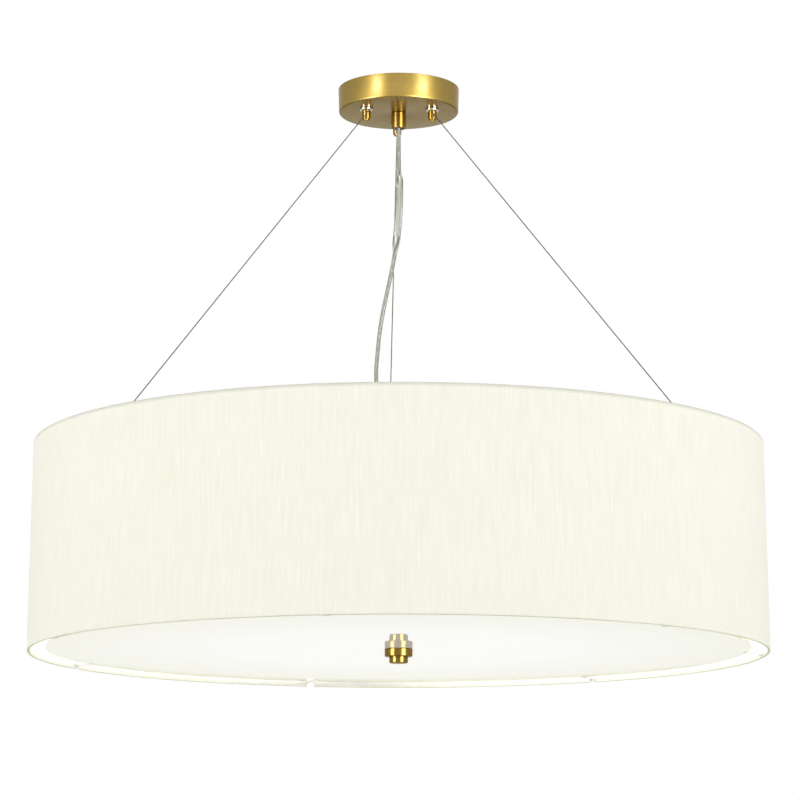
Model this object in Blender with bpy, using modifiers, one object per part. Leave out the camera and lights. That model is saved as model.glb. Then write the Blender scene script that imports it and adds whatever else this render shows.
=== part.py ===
"""Drum pendant light: ceiling plate, three wire grippers, clear cable, fabric drum, diffuser.

Metres, +Z up. The origin is the ceiling, at the middle of the bracket's top face, and the
lamp hangs below it. Azimuths are in degrees from the near side (-Y) towards +X.
"""
import math

import bmesh
import bpy
from mathutils import Matrix, Vector

# Fits that neighbouring pieces share
FIT_GAP = 0.0003
CUT_OVERRUN = 0.002
MERGE_DISTANCE = 0.00001
EDGE_CHAMFER = 0.0004

# How finely round pieces are divided
DRUM_STEPS = 56
CANOPY_STEPS = 36
TURNED_STEPS = 24
SMALL_STEPS = 16
GRIPPER_STEPS = 12
HOLE_STEPS = 12
RING_SIDES = 6

# Ceiling bracket
BRACKET_WIDTH = 0.022
BRACKET_THICKNESS = 0.0016
BRACKET_EAR_HEIGHT = 0.015
BRACKET_SLOT_SPACING = 0.060
BRACKET_SLOT_LENGTH = 0.012
BRACKET_SLOT_WIDTH = 0.005

# Ceiling plate (canopy)
CANOPY_CEILING_GAP = 0.0005
CANOPY_TOP_RADIUS = 0.0768
CANOPY_FLOOR_RADIUS = 0.0759
CANOPY_HEIGHT = 0.031
CANOPY_WALL = 0.001
CANOPY_EDGE_RADIUS = 0.0022

# Side screws of the ceiling plate
SIDE_SCREW_RADIUS = 0.002
SIDE_SCREW_LENGTH = 0.008
SIDE_SCREW_DEPTH = 0.009
SIDE_SCREW_SOCKET = 0.0011
SIDE_SCREW_SOCKET_DEPTH = 0.002

# Terminal block
TERMINAL_LENGTH = 0.030
TERMINAL_WIDTH = 0.018
TERMINAL_HEIGHT = 0.012
TERMINAL_BEVEL = 0.001
TERMINAL_WELL_RADIUS = 0.002
TERMINAL_WELL_DEPTH = 0.004
TERMINAL_WELL_PITCH = 0.009
TERMINAL_WELL_OFFSET = 0.0062

# Cable gland in the middle of the ceiling plate
GLAND_RADIUS = 0.00925
GLAND_LENGTH = 0.0195
GLAND_NECK_RADIUS = 0.0049
GLAND_NECK_HEIGHT = 0.0055
GLAND_BORE_RADIUS = 0.0035
GLAND_MOUTH_RADIUS = 0.007
GLAND_MOUTH_DEPTH = 0.010
GLAND_INSERT_RECESS = 0.0006
GLAND_NUT_FLATS = 0.014
GLAND_NUT_HEIGHT = 0.003

# Wire grippers
GRIPPER_CIRCLE_RADIUS = 0.0482
GRIPPER_NECK_RADIUS = 0.0029
GRIPPER_NECK_HEIGHT = 0.0055
GRIPPER_BORE_RADIUS = 0.0012
GRIPPER_SEAT_RADIUS = 0.0083
GRIPPER_SEAT_FOOT_RADIUS = 0.0057
GRIPPER_SEAT_LIP = 0.0008
GRIPPER_SEAT_HEIGHT = 0.0034
GRIPPER_SPIGOT_RADIUS = 0.002
GRIPPER_SPIGOT_HEIGHT = 0.001
GRIPPER_NUT_FLATS = 0.009
GRIPPER_NUT_HEIGHT = 0.0024
BARREL_RADIUS = 0.0054
BARREL_LENGTH = 0.0104
BARREL_HOLE_RADIUS = 0.00095
BARREL_HOLE_DROP = 0.0023
BARREL_LIP_HEIGHT = 0.0012
BARREL_CHAMBER_RADIUS = 0.00475
PLUNGER_STEM_RADIUS = 0.0038
PLUNGER_SHOULDER_RADIUS = 0.0044
PLUNGER_SHOULDER_HEIGHT = 0.0012
PLUNGER_STAND_OUT = 0.002
PLUNGER_TRAVEL = 0.0015

# Suspension wires
WIRE_RADIUS = 0.00065
WIRE_AZIMUTHS = (302.2, 62.2, 182.2)
BARREL_AZIMUTHS = (22.0, 356.0, 182.2)

# Drum shade
SHADE_DROP = 0.4345
SHADE_HEIGHT = 0.257
SHADE_BOTTOM_RADIUS = 0.455
SHADE_FLARE = 0.003
FABRIC_THICKNESS = 0.0005
LINING_THICKNESS = 0.0004
RING_WIRE_RADIUS = 0.0009
HEM_TUCK = 0.0015

# Spider that carries the drum
SPIDER_DEPTH = 0.022
SPIDER_BAR_WIDTH = 0.012
SPIDER_BAR_THICKNESS = 0.0025
SPIDER_BEND_RADIUS = 0.005
SPIDER_LINING_CLEARANCE = 0.001
SPIDER_HUB_RADIUS = 0.034

# Wire anchors on the spider
ANCHOR_INSET = 0.0465
ANCHOR_RADIUS = 0.0036
ANCHOR_HEIGHT = 0.0095
ANCHOR_FLANGE_RADIUS = 0.0048
ANCHOR_FLANGE_HEIGHT = 0.0012
ANCHOR_STEM_RADIUS = 0.002
ANCHOR_HOLE_HEIGHT = 0.007
ANCHOR_HOLE_DEPTH = 0.0025

# Stem between the spider and the lamp cluster
STEM_RADIUS = 0.0049
STEM_BORE_RADIUS = 0.0036
STEM_STAND_OUT = 0.009
STEM_NUT_FLATS = 0.017
STEM_NUT_HEIGHT = 0.004
CABLE_GRIP_RADIUS = 0.0085
CABLE_GRIP_BASE_HEIGHT = 0.008
CABLE_GRIP_HEIGHT = 0.014
CABLE_GRIP_NOSE_RADIUS = 0.0048
CABLE_GRIP_BORE_RADIUS = 0.0025

# Lamp cluster
CLUSTER_DEPTH = 0.120
CLUSTER_RADIUS = 0.042
CLUSTER_HEIGHT = 0.036
CLUSTER_WALL = 0.0012
CLUSTER_EDGE_RADIUS = 0.005
CLUSTER_LID_THICKNESS = 0.0015
CLUSTER_LID_LIP_HEIGHT = 0.004
CLUSTER_STEM_REACH = 0.008

# Lampholders and bulbs, on radial axes
HOLDER_RADIUS = 0.0195
HOLDER_BACK_RADIUS = 0.013
HOLDER_TAPER_LENGTH = 0.007
HOLDER_LENGTH = 0.045
HOLDER_BORE_RADIUS = 0.0142
HOLDER_BORE_DEPTH = 0.026
HOLDER_STEM_REACH = 0.006
HOLDER_EDGE = 0.001
CAP_RADIUS = 0.013
CAP_LENGTH = 0.0277
CAP_CONE_HEIGHT = 0.0025
CAP_CONE_RADIUS = 0.010
CAP_CONTACT_RADIUS = 0.005
CAP_CONTACT_HEIGHT = 0.0017
BULB_RADIUS = 0.030
BULB_LENGTH = 0.080
BULB_OUTLINE_SHARES = (
    (0.43, 0.0), (0.47, 0.13), (0.62, 0.27), (0.85, 0.43), (0.97, 0.56), (1.0, 0.66), (0.93, 0.79),
    (0.74, 0.90), (0.42, 0.975), (0.0, 1.0))

# Diffuser, its clips and its finial
DIFFUSER_RIM_GAP = 0.023
DIFFUSER_THICKNESS = 0.003
DIFFUSER_RECESS = 0.0054
DIFFUSER_CROWN = 0.0025
ROD_RADIUS = 0.0049
ROD_LID_REACH = 0.007
ROD_NUT_FLATS = 0.015
ROD_NUT_HEIGHT = 0.004
FINIAL_DISC_RADIUS = 0.0172
FINIAL_DISC_HEIGHT = 0.0090
FINIAL_DISC_EDGE = 0.0008
FINIAL_KNOB_RADIUS = 0.0115
FINIAL_KNOB_HEIGHT = 0.0077
FINIAL_KNOB_EDGE = 0.0014
FINIAL_KNOB_FLOOR = 0.0025
CLIP_COUNT = 7
CLIP_FIRST_AZIMUTH = 92.9
CLIP_WIDTH = 0.009
CLIP_THICKNESS = 0.001
CLIP_REST = 0.005
CLIP_LEG_HEIGHT = 0.0040
CLIP_HOOK_REACH = 0.0025

# Power cable: its diameter, and the points (x, y, z) that its free stretch runs through
CABLE_RADIUS = 0.0032
CABLE_POINT_SPACING = 0.016
CABLE_ROUTE = (
    (0.0, 0.0, -0.0510), (0.0, 0.0, -0.0700), (0.0004, -0.001, -0.1000), (0.0010, -0.003, -0.1300),
    (0.0004, -0.005, -0.1600), (-0.0024, -0.006, -0.1950), (-0.0062, -0.006, -0.2250),
    (-0.0115, -0.005, -0.2520), (-0.0185, -0.003, -0.2850), (-0.0235, -0.001, -0.3150),
    (-0.0268, 0.0, -0.3480), (-0.0282, 0.0, -0.3700), (-0.0262, 0.0, -0.3950), (-0.0200, 0.0, -0.4180),
    (-0.0100, 0.0, -0.4390), (-0.0025, 0.0, -0.4560), (0.0, 0.0, -0.4680), (0.0, 0.0, -0.4737))

# Heights that several pieces share
CANOPY_TOP_Z = -CANOPY_CEILING_GAP
CANOPY_UNDERSIDE_Z = CANOPY_TOP_Z - CANOPY_HEIGHT
CANOPY_FLOOR_Z = CANOPY_UNDERSIDE_Z + CANOPY_WALL
SHADE_TOP_Z = CANOPY_UNDERSIDE_Z - SHADE_DROP
SHADE_BOTTOM_Z = SHADE_TOP_Z - SHADE_HEIGHT
SPIDER_TOP_Z = SHADE_TOP_Z - SPIDER_DEPTH
SPIDER_UNDERSIDE_Z = SPIDER_TOP_Z - SPIDER_BAR_THICKNESS
CLUSTER_TOP_Z = SHADE_TOP_Z - CLUSTER_DEPTH + CLUSTER_HEIGHT / 2
CLUSTER_BOTTOM_Z = CLUSTER_TOP_Z - CLUSTER_HEIGHT
LID_UNDERSIDE_Z = CLUSTER_BOTTOM_Z - FIT_GAP - CLUSTER_LID_THICKNESS
DIFFUSER_EDGE_Z = SHADE_BOTTOM_Z + DIFFUSER_RECESS
DIFFUSER_CENTRE_Z = DIFFUSER_EDGE_Z + DIFFUSER_CROWN
FINIAL_DISC_TOP_Z = DIFFUSER_CENTRE_Z - FIT_GAP
FINIAL_KNOB_TOP_Z = FINIAL_DISC_TOP_Z - FINIAL_DISC_HEIGHT - FIT_GAP
HEM_RADIUS = FABRIC_THICKNESS + FIT_GAP + RING_WIRE_RADIUS + (LINING_THICKNESS + FIT_GAP) / 2
TOP_HEM_Z = SHADE_TOP_Z - HEM_RADIUS
BOTTOM_HEM_Z = SHADE_BOTTOM_Z + HEM_RADIUS

# Radii that several pieces share
SHADE_TOP_RADIUS = SHADE_BOTTOM_RADIUS - SHADE_FLARE
ANCHOR_CIRCLE_RADIUS = SHADE_TOP_RADIUS - ANCHOR_INSET
DIFFUSER_RADIUS = SHADE_BOTTOM_RADIUS - DIFFUSER_RIM_GAP

BRASS = ((0.62, 0.44, 0.17, 1.0), 0.3, 1.0)
CHROME = ((0.80, 0.80, 0.82, 1.0), 0.1, 1.0)
STEEL = ((0.56, 0.56, 0.55, 1.0), 0.35, 1.0)
WHITE_ENAMEL = ((0.82, 0.81, 0.77, 1.0), 0.4, 0.0)
GREY_PLASTIC = ((0.22, 0.22, 0.22, 1.0), 0.5, 0.0)
WHITE_PLASTIC = ((0.84, 0.84, 0.81, 1.0), 0.45, 0.0)
CLEAR_SHEATH = ((0.72, 0.72, 0.66, 1.0), 0.2, 0.0)
CREAM_FABRIC = ((0.87, 0.85, 0.74, 1.0), 0.9, 0.0)
OPAL = ((0.90, 0.90, 0.86, 1.0), 0.12, 0.0)


def clear_scene():
    """Removes every object, so the lamp starts in an empty scene."""
    for old in list(bpy.data.objects):
        bpy.data.objects.remove(old, do_unlink=True)


def new_collection(name):
    """A collection linked to the scene."""
    collection = bpy.data.collections.new(name)
    bpy.context.scene.collection.children.link(collection)
    return collection


clear_scene()
LAMP = new_collection("pendant_light")
CUTTERS = new_collection("cutters")


def paint(piece, look):
    """Gives a piece its own material from a colour, a roughness and a metallic value."""
    colour, roughness, metallic = look
    material = bpy.data.materials.new(piece.name)
    material.use_nodes = True
    shader = material.node_tree.nodes["Principled BSDF"]
    shader.inputs["Base Color"].default_value = colour
    shader.inputs["Roughness"].default_value = roughness
    shader.inputs["Metallic"].default_value = metallic
    piece.data.materials.clear()
    piece.data.materials.append(material)
    return piece


def link_mesh(name, mesh, collection):
    """An object of the mesh in the collection."""
    piece = bpy.data.objects.new(name, mesh)
    collection.objects.link(piece)
    return piece


def turned(name, profile, look, steps=TURNED_STEPS, closed=False, collection=LAMP):
    """A turned piece: (radius, height) points, down the outer side, swept about local Z."""
    mesh = bpy.data.meshes.new(name)
    edges = [(i, i + 1) for i in range(len(profile) - 1)]
    if closed:
        edges.append((len(profile) - 1, 0))
    mesh.from_pydata([(radius, 0.0, height) for radius, height in profile], edges, [])
    piece = link_mesh(name, mesh, collection)
    sweep = piece.modifiers.new("sweep", "SCREW")
    sweep.axis = "Z"
    sweep.angle = math.tau
    sweep.steps = steps
    sweep.render_steps = steps
    sweep.use_merge_vertices = True
    sweep.merge_threshold = MERGE_DISTANCE
    sweep.use_smooth_shade = True
    return paint(piece, look)


def welded(mesh):
    """Joins the points of a mesh that lie on each other."""
    work = bmesh.new()
    work.from_mesh(mesh)
    bmesh.ops.remove_doubles(work, verts=work.verts, dist=MERGE_DISTANCE)
    bmesh.ops.recalc_face_normals(work, faces=work.faces)
    work.to_mesh(mesh)
    work.free()
    return mesh


def mesh_of_curve(name, curve, collection):
    """Turns curve data into a welded mesh object."""
    guide = bpy.data.objects.new(name + "_curve", curve)
    collection.objects.link(guide)
    bpy.context.view_layer.update()
    evaluated = guide.evaluated_get(bpy.context.evaluated_depsgraph_get())
    mesh = bpy.data.meshes.new_from_object(evaluated)
    bpy.data.objects.remove(guide, do_unlink=True)
    mesh.name = name
    return link_mesh(name, welded(mesh), collection)


def plate(name, outline, thickness, look=None, collection=LAMP):
    """A flat piece: an outline in local XY, filled and given its thickness about the plane."""
    curve = bpy.data.curves.new(name, "CURVE")
    curve.dimensions = "2D"
    curve.fill_mode = "BOTH"
    curve.extrude = thickness / 2
    spline = curve.splines.new("POLY")
    spline.points.add(len(outline) - 1)
    for point, (x, y) in zip(spline.points, outline):
        point.co = (x, y, 0.0, 1.0)
    spline.use_cyclic_u = True
    piece = mesh_of_curve(name, curve, collection)
    return paint(piece, look) if look else piece


def rod_cutter(name, radius, length, place, steps=HOLE_STEPS):
    """A round cutter along local Z, centred on the place."""
    mesh = bpy.data.meshes.new(name)
    work = bmesh.new()
    bmesh.ops.create_cone(work, cap_ends=True, segments=steps, radius1=radius, radius2=radius,
                          depth=length)
    work.to_mesh(mesh)
    work.free()
    cutter = link_mesh(name, mesh, CUTTERS)
    cutter.matrix_world = place
    return hide_cutter(cutter)


def hide_cutter(cutter):
    """Shows a cutter as wires only and keeps it out of the picture."""
    cutter.hide_render = True
    cutter.display_type = "WIRE"
    return cutter


def cut(piece, cutter):
    """Takes the cutter out of the piece."""
    step = piece.modifiers.new(cutter.name, "BOOLEAN")
    step.operation = "DIFFERENCE"
    step.solver = "EXACT"
    step.object = cutter
    return piece


def at(x, y, z):
    """A place with the world's axes."""
    return Matrix.Translation((x, y, z))


def along(origin, direction):
    """A place whose local Z runs along the direction."""
    turn = Vector(direction).to_track_quat("Z", "Y").to_matrix().to_4x4()
    return Matrix.Translation(origin) @ turn


def outward(azimuth):
    """The level direction of an azimuth."""
    angle = math.radians(azimuth)
    return Vector((math.sin(angle), -math.cos(angle), 0.0))


def facing(azimuth, radius, height):
    """A place at a radius and a height, with local X pointing outwards at the azimuth."""
    place = outward(azimuth) * radius
    turn = Matrix.Rotation(math.radians(azimuth) - math.pi / 2, 4, "Z")
    return Matrix.Translation((place.x, place.y, height)) @ turn


def upright_plate(azimuth):
    """A place that stands an outline of (radius, height) points up in an azimuth's plane."""
    return facing(azimuth, 0.0, 0.0) @ Matrix.Rotation(math.pi / 2, 4, "X")


def hexagon_radius(flats):
    """The corner radius of a hexagon of that size across its flats."""
    return flats / math.sqrt(3)


def hex_nut(name, flats, height, bore_radius, place, look=STEEL):
    """A hexagon nut whose lower face is at the place."""
    mesh = bpy.data.meshes.new(name)
    work = bmesh.new()
    corner = hexagon_radius(flats)
    bmesh.ops.create_cone(work, cap_ends=True, segments=6, radius1=corner, radius2=corner, depth=height)
    work.to_mesh(mesh)
    work.free()
    nut = link_mesh(name, mesh, LAMP)
    nut.matrix_world = place @ at(0.0, 0.0, height / 2)
    cut(nut, rod_cutter(name + "_bore", bore_radius, height + 2 * CUT_OVERRUN, nut.matrix_world))
    return paint(nut, look)


def arc(centre, radius, start, end, steps):
    """Points of an arc, from one angle to another in degrees."""
    points = []
    for i in range(steps + 1):
        angle = math.radians(start + (end - start) * i / steps)
        points.append((centre[0] + radius * math.cos(angle), centre[1] + radius * math.sin(angle)))
    return points


def drum_radius(height):
    """The fabric's outer radius at a height on the slightly flared drum."""
    flare = (TOP_HEM_Z - height) / (TOP_HEM_Z - BOTTOM_HEM_Z)
    return SHADE_TOP_RADIUS + (SHADE_BOTTOM_RADIUS - SHADE_TOP_RADIUS) * flare


def facet_inset(radius, steps):
    """How far the middle of a facet lies inside the circle through its corners."""
    return radius * (1 - math.cos(math.pi / steps))


def bracket_ear():
    """The level reach of the bracket's ears, just inside the ceiling plate's wall."""
    radius = CANOPY_FLOOR_RADIUS - CANOPY_WALL
    inside = radius - facet_inset(radius, CANOPY_STEPS)
    return math.sqrt(inside ** 2 - (BRACKET_WIDTH / 2) ** 2) - FIT_GAP


def side_screw_place(side):
    """The side screw's place: at the wall's outer face, local Z pointing out."""
    return along((side * CANOPY_FLOOR_RADIUS, 0.0, -SIDE_SCREW_DEPTH), (side, 0.0, 0.0))


def slot_outline(length, width):
    """A slot with round ends."""
    straight = (length - width) / 2
    return (arc((straight, 0.0), width / 2, -90, 90, 5)
            + arc((-straight, 0.0), width / 2, 90, 270, 5))


def make_bracket():
    """The steel strap on the ceiling, with ears that hold the side screws."""
    ear = bracket_ear()
    inner = ear - BRACKET_THICKNESS
    outline = [(-ear, 0.0), (-ear, -BRACKET_EAR_HEIGHT), (-inner, -BRACKET_EAR_HEIGHT),
               (-inner, -BRACKET_THICKNESS), (inner, -BRACKET_THICKNESS),
               (inner, -BRACKET_EAR_HEIGHT), (ear, -BRACKET_EAR_HEIGHT), (ear, 0.0)]
    bracket = plate("ceiling_bracket", outline, BRACKET_WIDTH, STEEL)
    bracket.matrix_world = Matrix.Rotation(math.pi / 2, 4, "X")
    for side in (-1, 1):
        slot = plate(f"bracket_slot_{side + 2}", slot_outline(BRACKET_SLOT_LENGTH, BRACKET_SLOT_WIDTH),
                     BRACKET_THICKNESS + 2 * CUT_OVERRUN, collection=CUTTERS)
        slot.matrix_world = at(side * BRACKET_SLOT_SPACING / 2, 0.0, -BRACKET_THICKNESS / 2)
        cut(bracket, hide_cutter(slot))
        cut(bracket, rod_cutter(f"ear_hole_{side + 2}", SIDE_SCREW_RADIUS + FIT_GAP,
                                2 * SIDE_SCREW_LENGTH, side_screw_place(side)))


def make_canopy():
    """The spun ceiling plate, open at the top, with its holes."""
    corner = CANOPY_EDGE_RADIUS
    inner_corner = corner - CANOPY_WALL
    edge = (CANOPY_FLOOR_RADIUS - corner, CANOPY_UNDERSIDE_Z + corner)
    hole = GLAND_NECK_RADIUS + FIT_GAP
    profile = [(CANOPY_TOP_RADIUS - CANOPY_WALL, CANOPY_TOP_Z), (CANOPY_TOP_RADIUS, CANOPY_TOP_Z)]
    profile += arc(edge, corner, 0, -90, 3)
    profile += [(hole, CANOPY_UNDERSIDE_Z), (hole, CANOPY_FLOOR_Z)]
    profile += arc(edge, inner_corner, -90, 0, 2)
    canopy = turned("canopy_cup", profile, BRASS, CANOPY_STEPS, closed=True)
    for k, azimuth in enumerate(WIRE_AZIMUTHS, start=1):
        place = facing(azimuth, GRIPPER_CIRCLE_RADIUS, CANOPY_UNDERSIDE_Z)
        cut(canopy, rod_cutter(f"gripper_hole_{k}", GRIPPER_NECK_RADIUS + FIT_GAP,
                               2 * CUT_OVERRUN + CANOPY_WALL, place))
    for side in (-1, 1):
        cut(canopy, rod_cutter(f"canopy_screw_hole_{side + 2}", SIDE_SCREW_RADIUS + FIT_GAP,
                               2 * SIDE_SCREW_LENGTH, side_screw_place(side)))


def make_side_screws():
    """Two grub screws through the ceiling plate's wall into the bracket's ears."""
    for name, side in (("canopy_screw_left", -1), ("canopy_screw_right", 1)):
        profile = [(0.0, 0.0), (SIDE_SCREW_RADIUS - EDGE_CHAMFER, 0.0),
                   (SIDE_SCREW_RADIUS, -EDGE_CHAMFER),
                   (SIDE_SCREW_RADIUS, EDGE_CHAMFER - SIDE_SCREW_LENGTH),
                   (SIDE_SCREW_RADIUS - EDGE_CHAMFER, -SIDE_SCREW_LENGTH), (0.0, -SIDE_SCREW_LENGTH)]
        screw = turned(name, profile, BRASS, HOLE_STEPS)
        screw.matrix_world = side_screw_place(side)
        socket = rod_cutter(name + "_socket", SIDE_SCREW_SOCKET, 2 * SIDE_SCREW_SOCKET_DEPTH,
                            side_screw_place(side), steps=6)
        cut(screw, socket)


def make_terminal_block():
    """The connector block under the bracket, with three screw wells."""
    mesh = bpy.data.meshes.new("terminal_block")
    work = bmesh.new()
    bmesh.ops.create_cube(work, size=1.0)
    bmesh.ops.scale(work, vec=(TERMINAL_LENGTH, TERMINAL_WIDTH, TERMINAL_HEIGHT), verts=work.verts)
    work.to_mesh(mesh)
    work.free()
    block = link_mesh("terminal_block", mesh, LAMP)
    top = -BRACKET_THICKNESS - FIT_GAP
    block.location = (0.0, 0.0, top - TERMINAL_HEIGHT / 2)
    rounding = block.modifiers.new("edges", "BEVEL")
    rounding.width = TERMINAL_BEVEL
    rounding.segments = 1
    for i in (-1, 0, 1):
        place = at(i * TERMINAL_WELL_PITCH, -TERMINAL_WELL_OFFSET, top - TERMINAL_HEIGHT)
        cut(block, rod_cutter(f"terminal_well_{i + 2}", TERMINAL_WELL_RADIUS,
                              2 * TERMINAL_WELL_DEPTH, place))
    paint(block, WHITE_PLASTIC)


def make_gland():
    """The brass gland tube with its plastic insert, its nut and the lead above it."""
    shoulder = CANOPY_UNDERSIDE_Z - FIT_GAP
    mouth = shoulder - GLAND_LENGTH
    neck_top = CANOPY_FLOOR_Z + GLAND_NECK_HEIGHT
    step = mouth + GLAND_MOUTH_DEPTH
    turned("gland_body", [
        (GLAND_BORE_RADIUS, neck_top), (GLAND_NECK_RADIUS, neck_top), (GLAND_NECK_RADIUS, shoulder),
        (GLAND_RADIUS, shoulder), (GLAND_RADIUS, mouth + EDGE_CHAMFER),
        (GLAND_RADIUS - EDGE_CHAMFER, mouth), (GLAND_MOUTH_RADIUS, mouth), (GLAND_MOUTH_RADIUS, step),
        (GLAND_BORE_RADIUS, step)], BRASS, closed=True)
    insert_radius = GLAND_MOUTH_RADIUS - FIT_GAP
    insert_top = step - FIT_GAP
    insert_bottom = mouth + GLAND_INSERT_RECESS
    turned("gland_insert", [
        (0.0, insert_top), (insert_radius, insert_top), (insert_radius, insert_bottom + EDGE_CHAMFER),
        (insert_radius - EDGE_CHAMFER, insert_bottom), (0.0, insert_bottom)], GREY_PLASTIC, SMALL_STEPS)
    hex_nut("gland_nut", GLAND_NUT_FLATS, GLAND_NUT_HEIGHT, GLAND_NECK_RADIUS + FIT_GAP,
            at(0.0, 0.0, CANOPY_FLOOR_Z + FIT_GAP))
    lead_top = -BRACKET_THICKNESS - TERMINAL_HEIGHT - 2 * FIT_GAP
    turned("inner_lead", [
        (0.0, lead_top), (CABLE_RADIUS, lead_top), (CABLE_RADIUS, insert_top + FIT_GAP),
        (0.0, insert_top + FIT_GAP)], CLEAR_SHEATH, HOLE_STEPS)


def make_grippers():
    """Three side-exit grippers: flared seat with its nut, barrel and sprung release plunger."""
    seat_foot = -FIT_GAP - GRIPPER_SEAT_HEIGHT
    spigot_foot = seat_foot - GRIPPER_SPIGOT_HEIGHT
    nut_foot = CANOPY_WALL + FIT_GAP
    nut_top = nut_foot + GRIPPER_NUT_HEIGHT
    neck_top = nut_foot + GRIPPER_NECK_HEIGHT
    nut_radius = GRIPPER_NUT_FLATS / 2
    seat_profile = [
        (GRIPPER_BORE_RADIUS, neck_top), (GRIPPER_NECK_RADIUS, neck_top),
        (GRIPPER_NECK_RADIUS, nut_top), (nut_radius, nut_top), (nut_radius, nut_foot),
        (GRIPPER_NECK_RADIUS, nut_foot), (GRIPPER_NECK_RADIUS, -FIT_GAP),
        (GRIPPER_SEAT_RADIUS, -FIT_GAP), (GRIPPER_SEAT_RADIUS, -FIT_GAP - GRIPPER_SEAT_LIP),
        (GRIPPER_SEAT_FOOT_RADIUS, seat_foot), (GRIPPER_SPIGOT_RADIUS, seat_foot),
        (GRIPPER_SPIGOT_RADIUS, spigot_foot), (GRIPPER_BORE_RADIUS, spigot_foot)]
    top = seat_foot - FIT_GAP
    foot = top - BARREL_LENGTH
    hole_z = top - BARREL_HOLE_DROP
    recess = hole_z - BARREL_HOLE_RADIUS
    lip_top = foot + BARREL_LIP_HEIGHT
    shoulder_foot = lip_top + FIT_GAP
    shoulder_top = shoulder_foot + PLUNGER_SHOULDER_HEIGHT
    chamber_top = shoulder_top + PLUNGER_TRAVEL + FIT_GAP
    recess_radius = GRIPPER_SPIGOT_RADIUS + FIT_GAP
    lip_radius = PLUNGER_STEM_RADIUS + FIT_GAP
    barrel_profile = [
        (0.0, recess), (recess_radius, recess), (recess_radius, top),
        (BARREL_RADIUS - EDGE_CHAMFER, top), (BARREL_RADIUS, top - EDGE_CHAMFER),
        (BARREL_RADIUS, foot + EDGE_CHAMFER), (BARREL_RADIUS - EDGE_CHAMFER, foot),
        (lip_radius, foot), (lip_radius, lip_top), (BARREL_CHAMBER_RADIUS, lip_top),
        (BARREL_CHAMBER_RADIUS, chamber_top), (0.0, chamber_top)]
    plunger_foot = foot - PLUNGER_STAND_OUT
    plunger_profile = [
        (0.0, shoulder_top), (PLUNGER_SHOULDER_RADIUS, shoulder_top),
        (PLUNGER_SHOULDER_RADIUS, shoulder_foot), (PLUNGER_STEM_RADIUS, shoulder_foot),
        (PLUNGER_STEM_RADIUS, plunger_foot + EDGE_CHAMFER),
        (PLUNGER_STEM_RADIUS - EDGE_CHAMFER, plunger_foot), (0.0, plunger_foot)]
    places = []
    for k, azimuth in enumerate(WIRE_AZIMUTHS, start=1):
        centre = outward(azimuth) * GRIPPER_CIRCLE_RADIUS
        turn = Matrix.Rotation(math.radians(BARREL_AZIMUTHS[k - 1]) - math.pi / 2, 4, "Z")
        place = Matrix.Translation((centre.x, centre.y, CANOPY_UNDERSIDE_Z)) @ turn
        seat = turned(f"gripper_seat_{k}", seat_profile, CHROME, GRIPPER_STEPS, closed=True)
        barrel = turned(f"gripper_barrel_{k}", barrel_profile, BRASS, GRIPPER_STEPS)
        plunger = turned(f"gripper_plunger_{k}", plunger_profile, BRASS, GRIPPER_STEPS)
        for piece in (seat, barrel, plunger):
            piece.matrix_world = place
        hole_place = place @ at(BARREL_RADIUS, 0.0, hole_z) @ Matrix.Rotation(math.pi / 2, 4, "Y")
        cut(barrel, rod_cutter(f"wire_hole_{k}", BARREL_HOLE_RADIUS, 2 * BARREL_RADIUS, hole_place, 8))
        stand_off = BARREL_RADIUS + FIT_GAP + WIRE_RADIUS
        places.append(place @ Vector((stand_off, 0.0, hole_z)))
    return places


def make_anchors():
    """Riveted posts on the spider's bars, where the wires end."""
    foot = FIT_GAP
    below = -SPIDER_BAR_THICKNESS - FIT_GAP
    head = below - ANCHOR_FLANGE_HEIGHT
    flange_top = foot + ANCHOR_FLANGE_HEIGHT
    profile = [
        (0.0, ANCHOR_HEIGHT), (ANCHOR_RADIUS - 2 * EDGE_CHAMFER, ANCHOR_HEIGHT),
        (ANCHOR_RADIUS, ANCHOR_HEIGHT - 2 * EDGE_CHAMFER), (ANCHOR_RADIUS, flange_top),
        (ANCHOR_FLANGE_RADIUS, flange_top), (ANCHOR_FLANGE_RADIUS, foot), (ANCHOR_STEM_RADIUS, foot),
        (ANCHOR_STEM_RADIUS, below), (ANCHOR_RADIUS, below), (ANCHOR_RADIUS, head), (0.0, head)]
    places = []
    for k, azimuth in enumerate(WIRE_AZIMUTHS, start=1):
        place = facing(azimuth, ANCHOR_CIRCLE_RADIUS, SPIDER_TOP_Z)
        anchor = turned(f"wire_anchor_{k}", profile, BRASS, HOLE_STEPS)
        anchor.matrix_world = place
        hole_place = (place @ at(-ANCHOR_RADIUS, 0.0, ANCHOR_HOLE_HEIGHT)
                      @ Matrix.Rotation(math.pi / 2, 4, "Y"))
        cut(anchor, rod_cutter(f"anchor_hole_{k}", WIRE_RADIUS + FIT_GAP, 2 * ANCHOR_HOLE_DEPTH,
                               hole_place, 8))
        stand_off = ANCHOR_RADIUS + FIT_GAP + WIRE_RADIUS
        places.append(place @ Vector((-stand_off, 0.0, ANCHOR_HOLE_HEIGHT)))
    return places


def tube(name, points, radius, look):
    """A round tube along the points, with filled ends."""
    curve = bpy.data.curves.new(name, "CURVE")
    curve.dimensions = "3D"
    curve.bevel_depth = radius
    curve.bevel_resolution = 2
    curve.use_fill_caps = True
    spline = curve.splines.new("POLY")
    spline.points.add(len(points) - 1)
    for target, point in zip(spline.points, points):
        target.co = (*point, 1.0)
    return paint(mesh_of_curve(name, curve, LAMP), look)


def make_wires(starts, ends):
    """The three straight suspension wires, gripper to anchor."""
    for k, (start, end) in enumerate(zip(starts, ends), start=1):
        tube(f"suspension_wire_{k}", [start, end], WIRE_RADIUS, STEEL)


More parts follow.
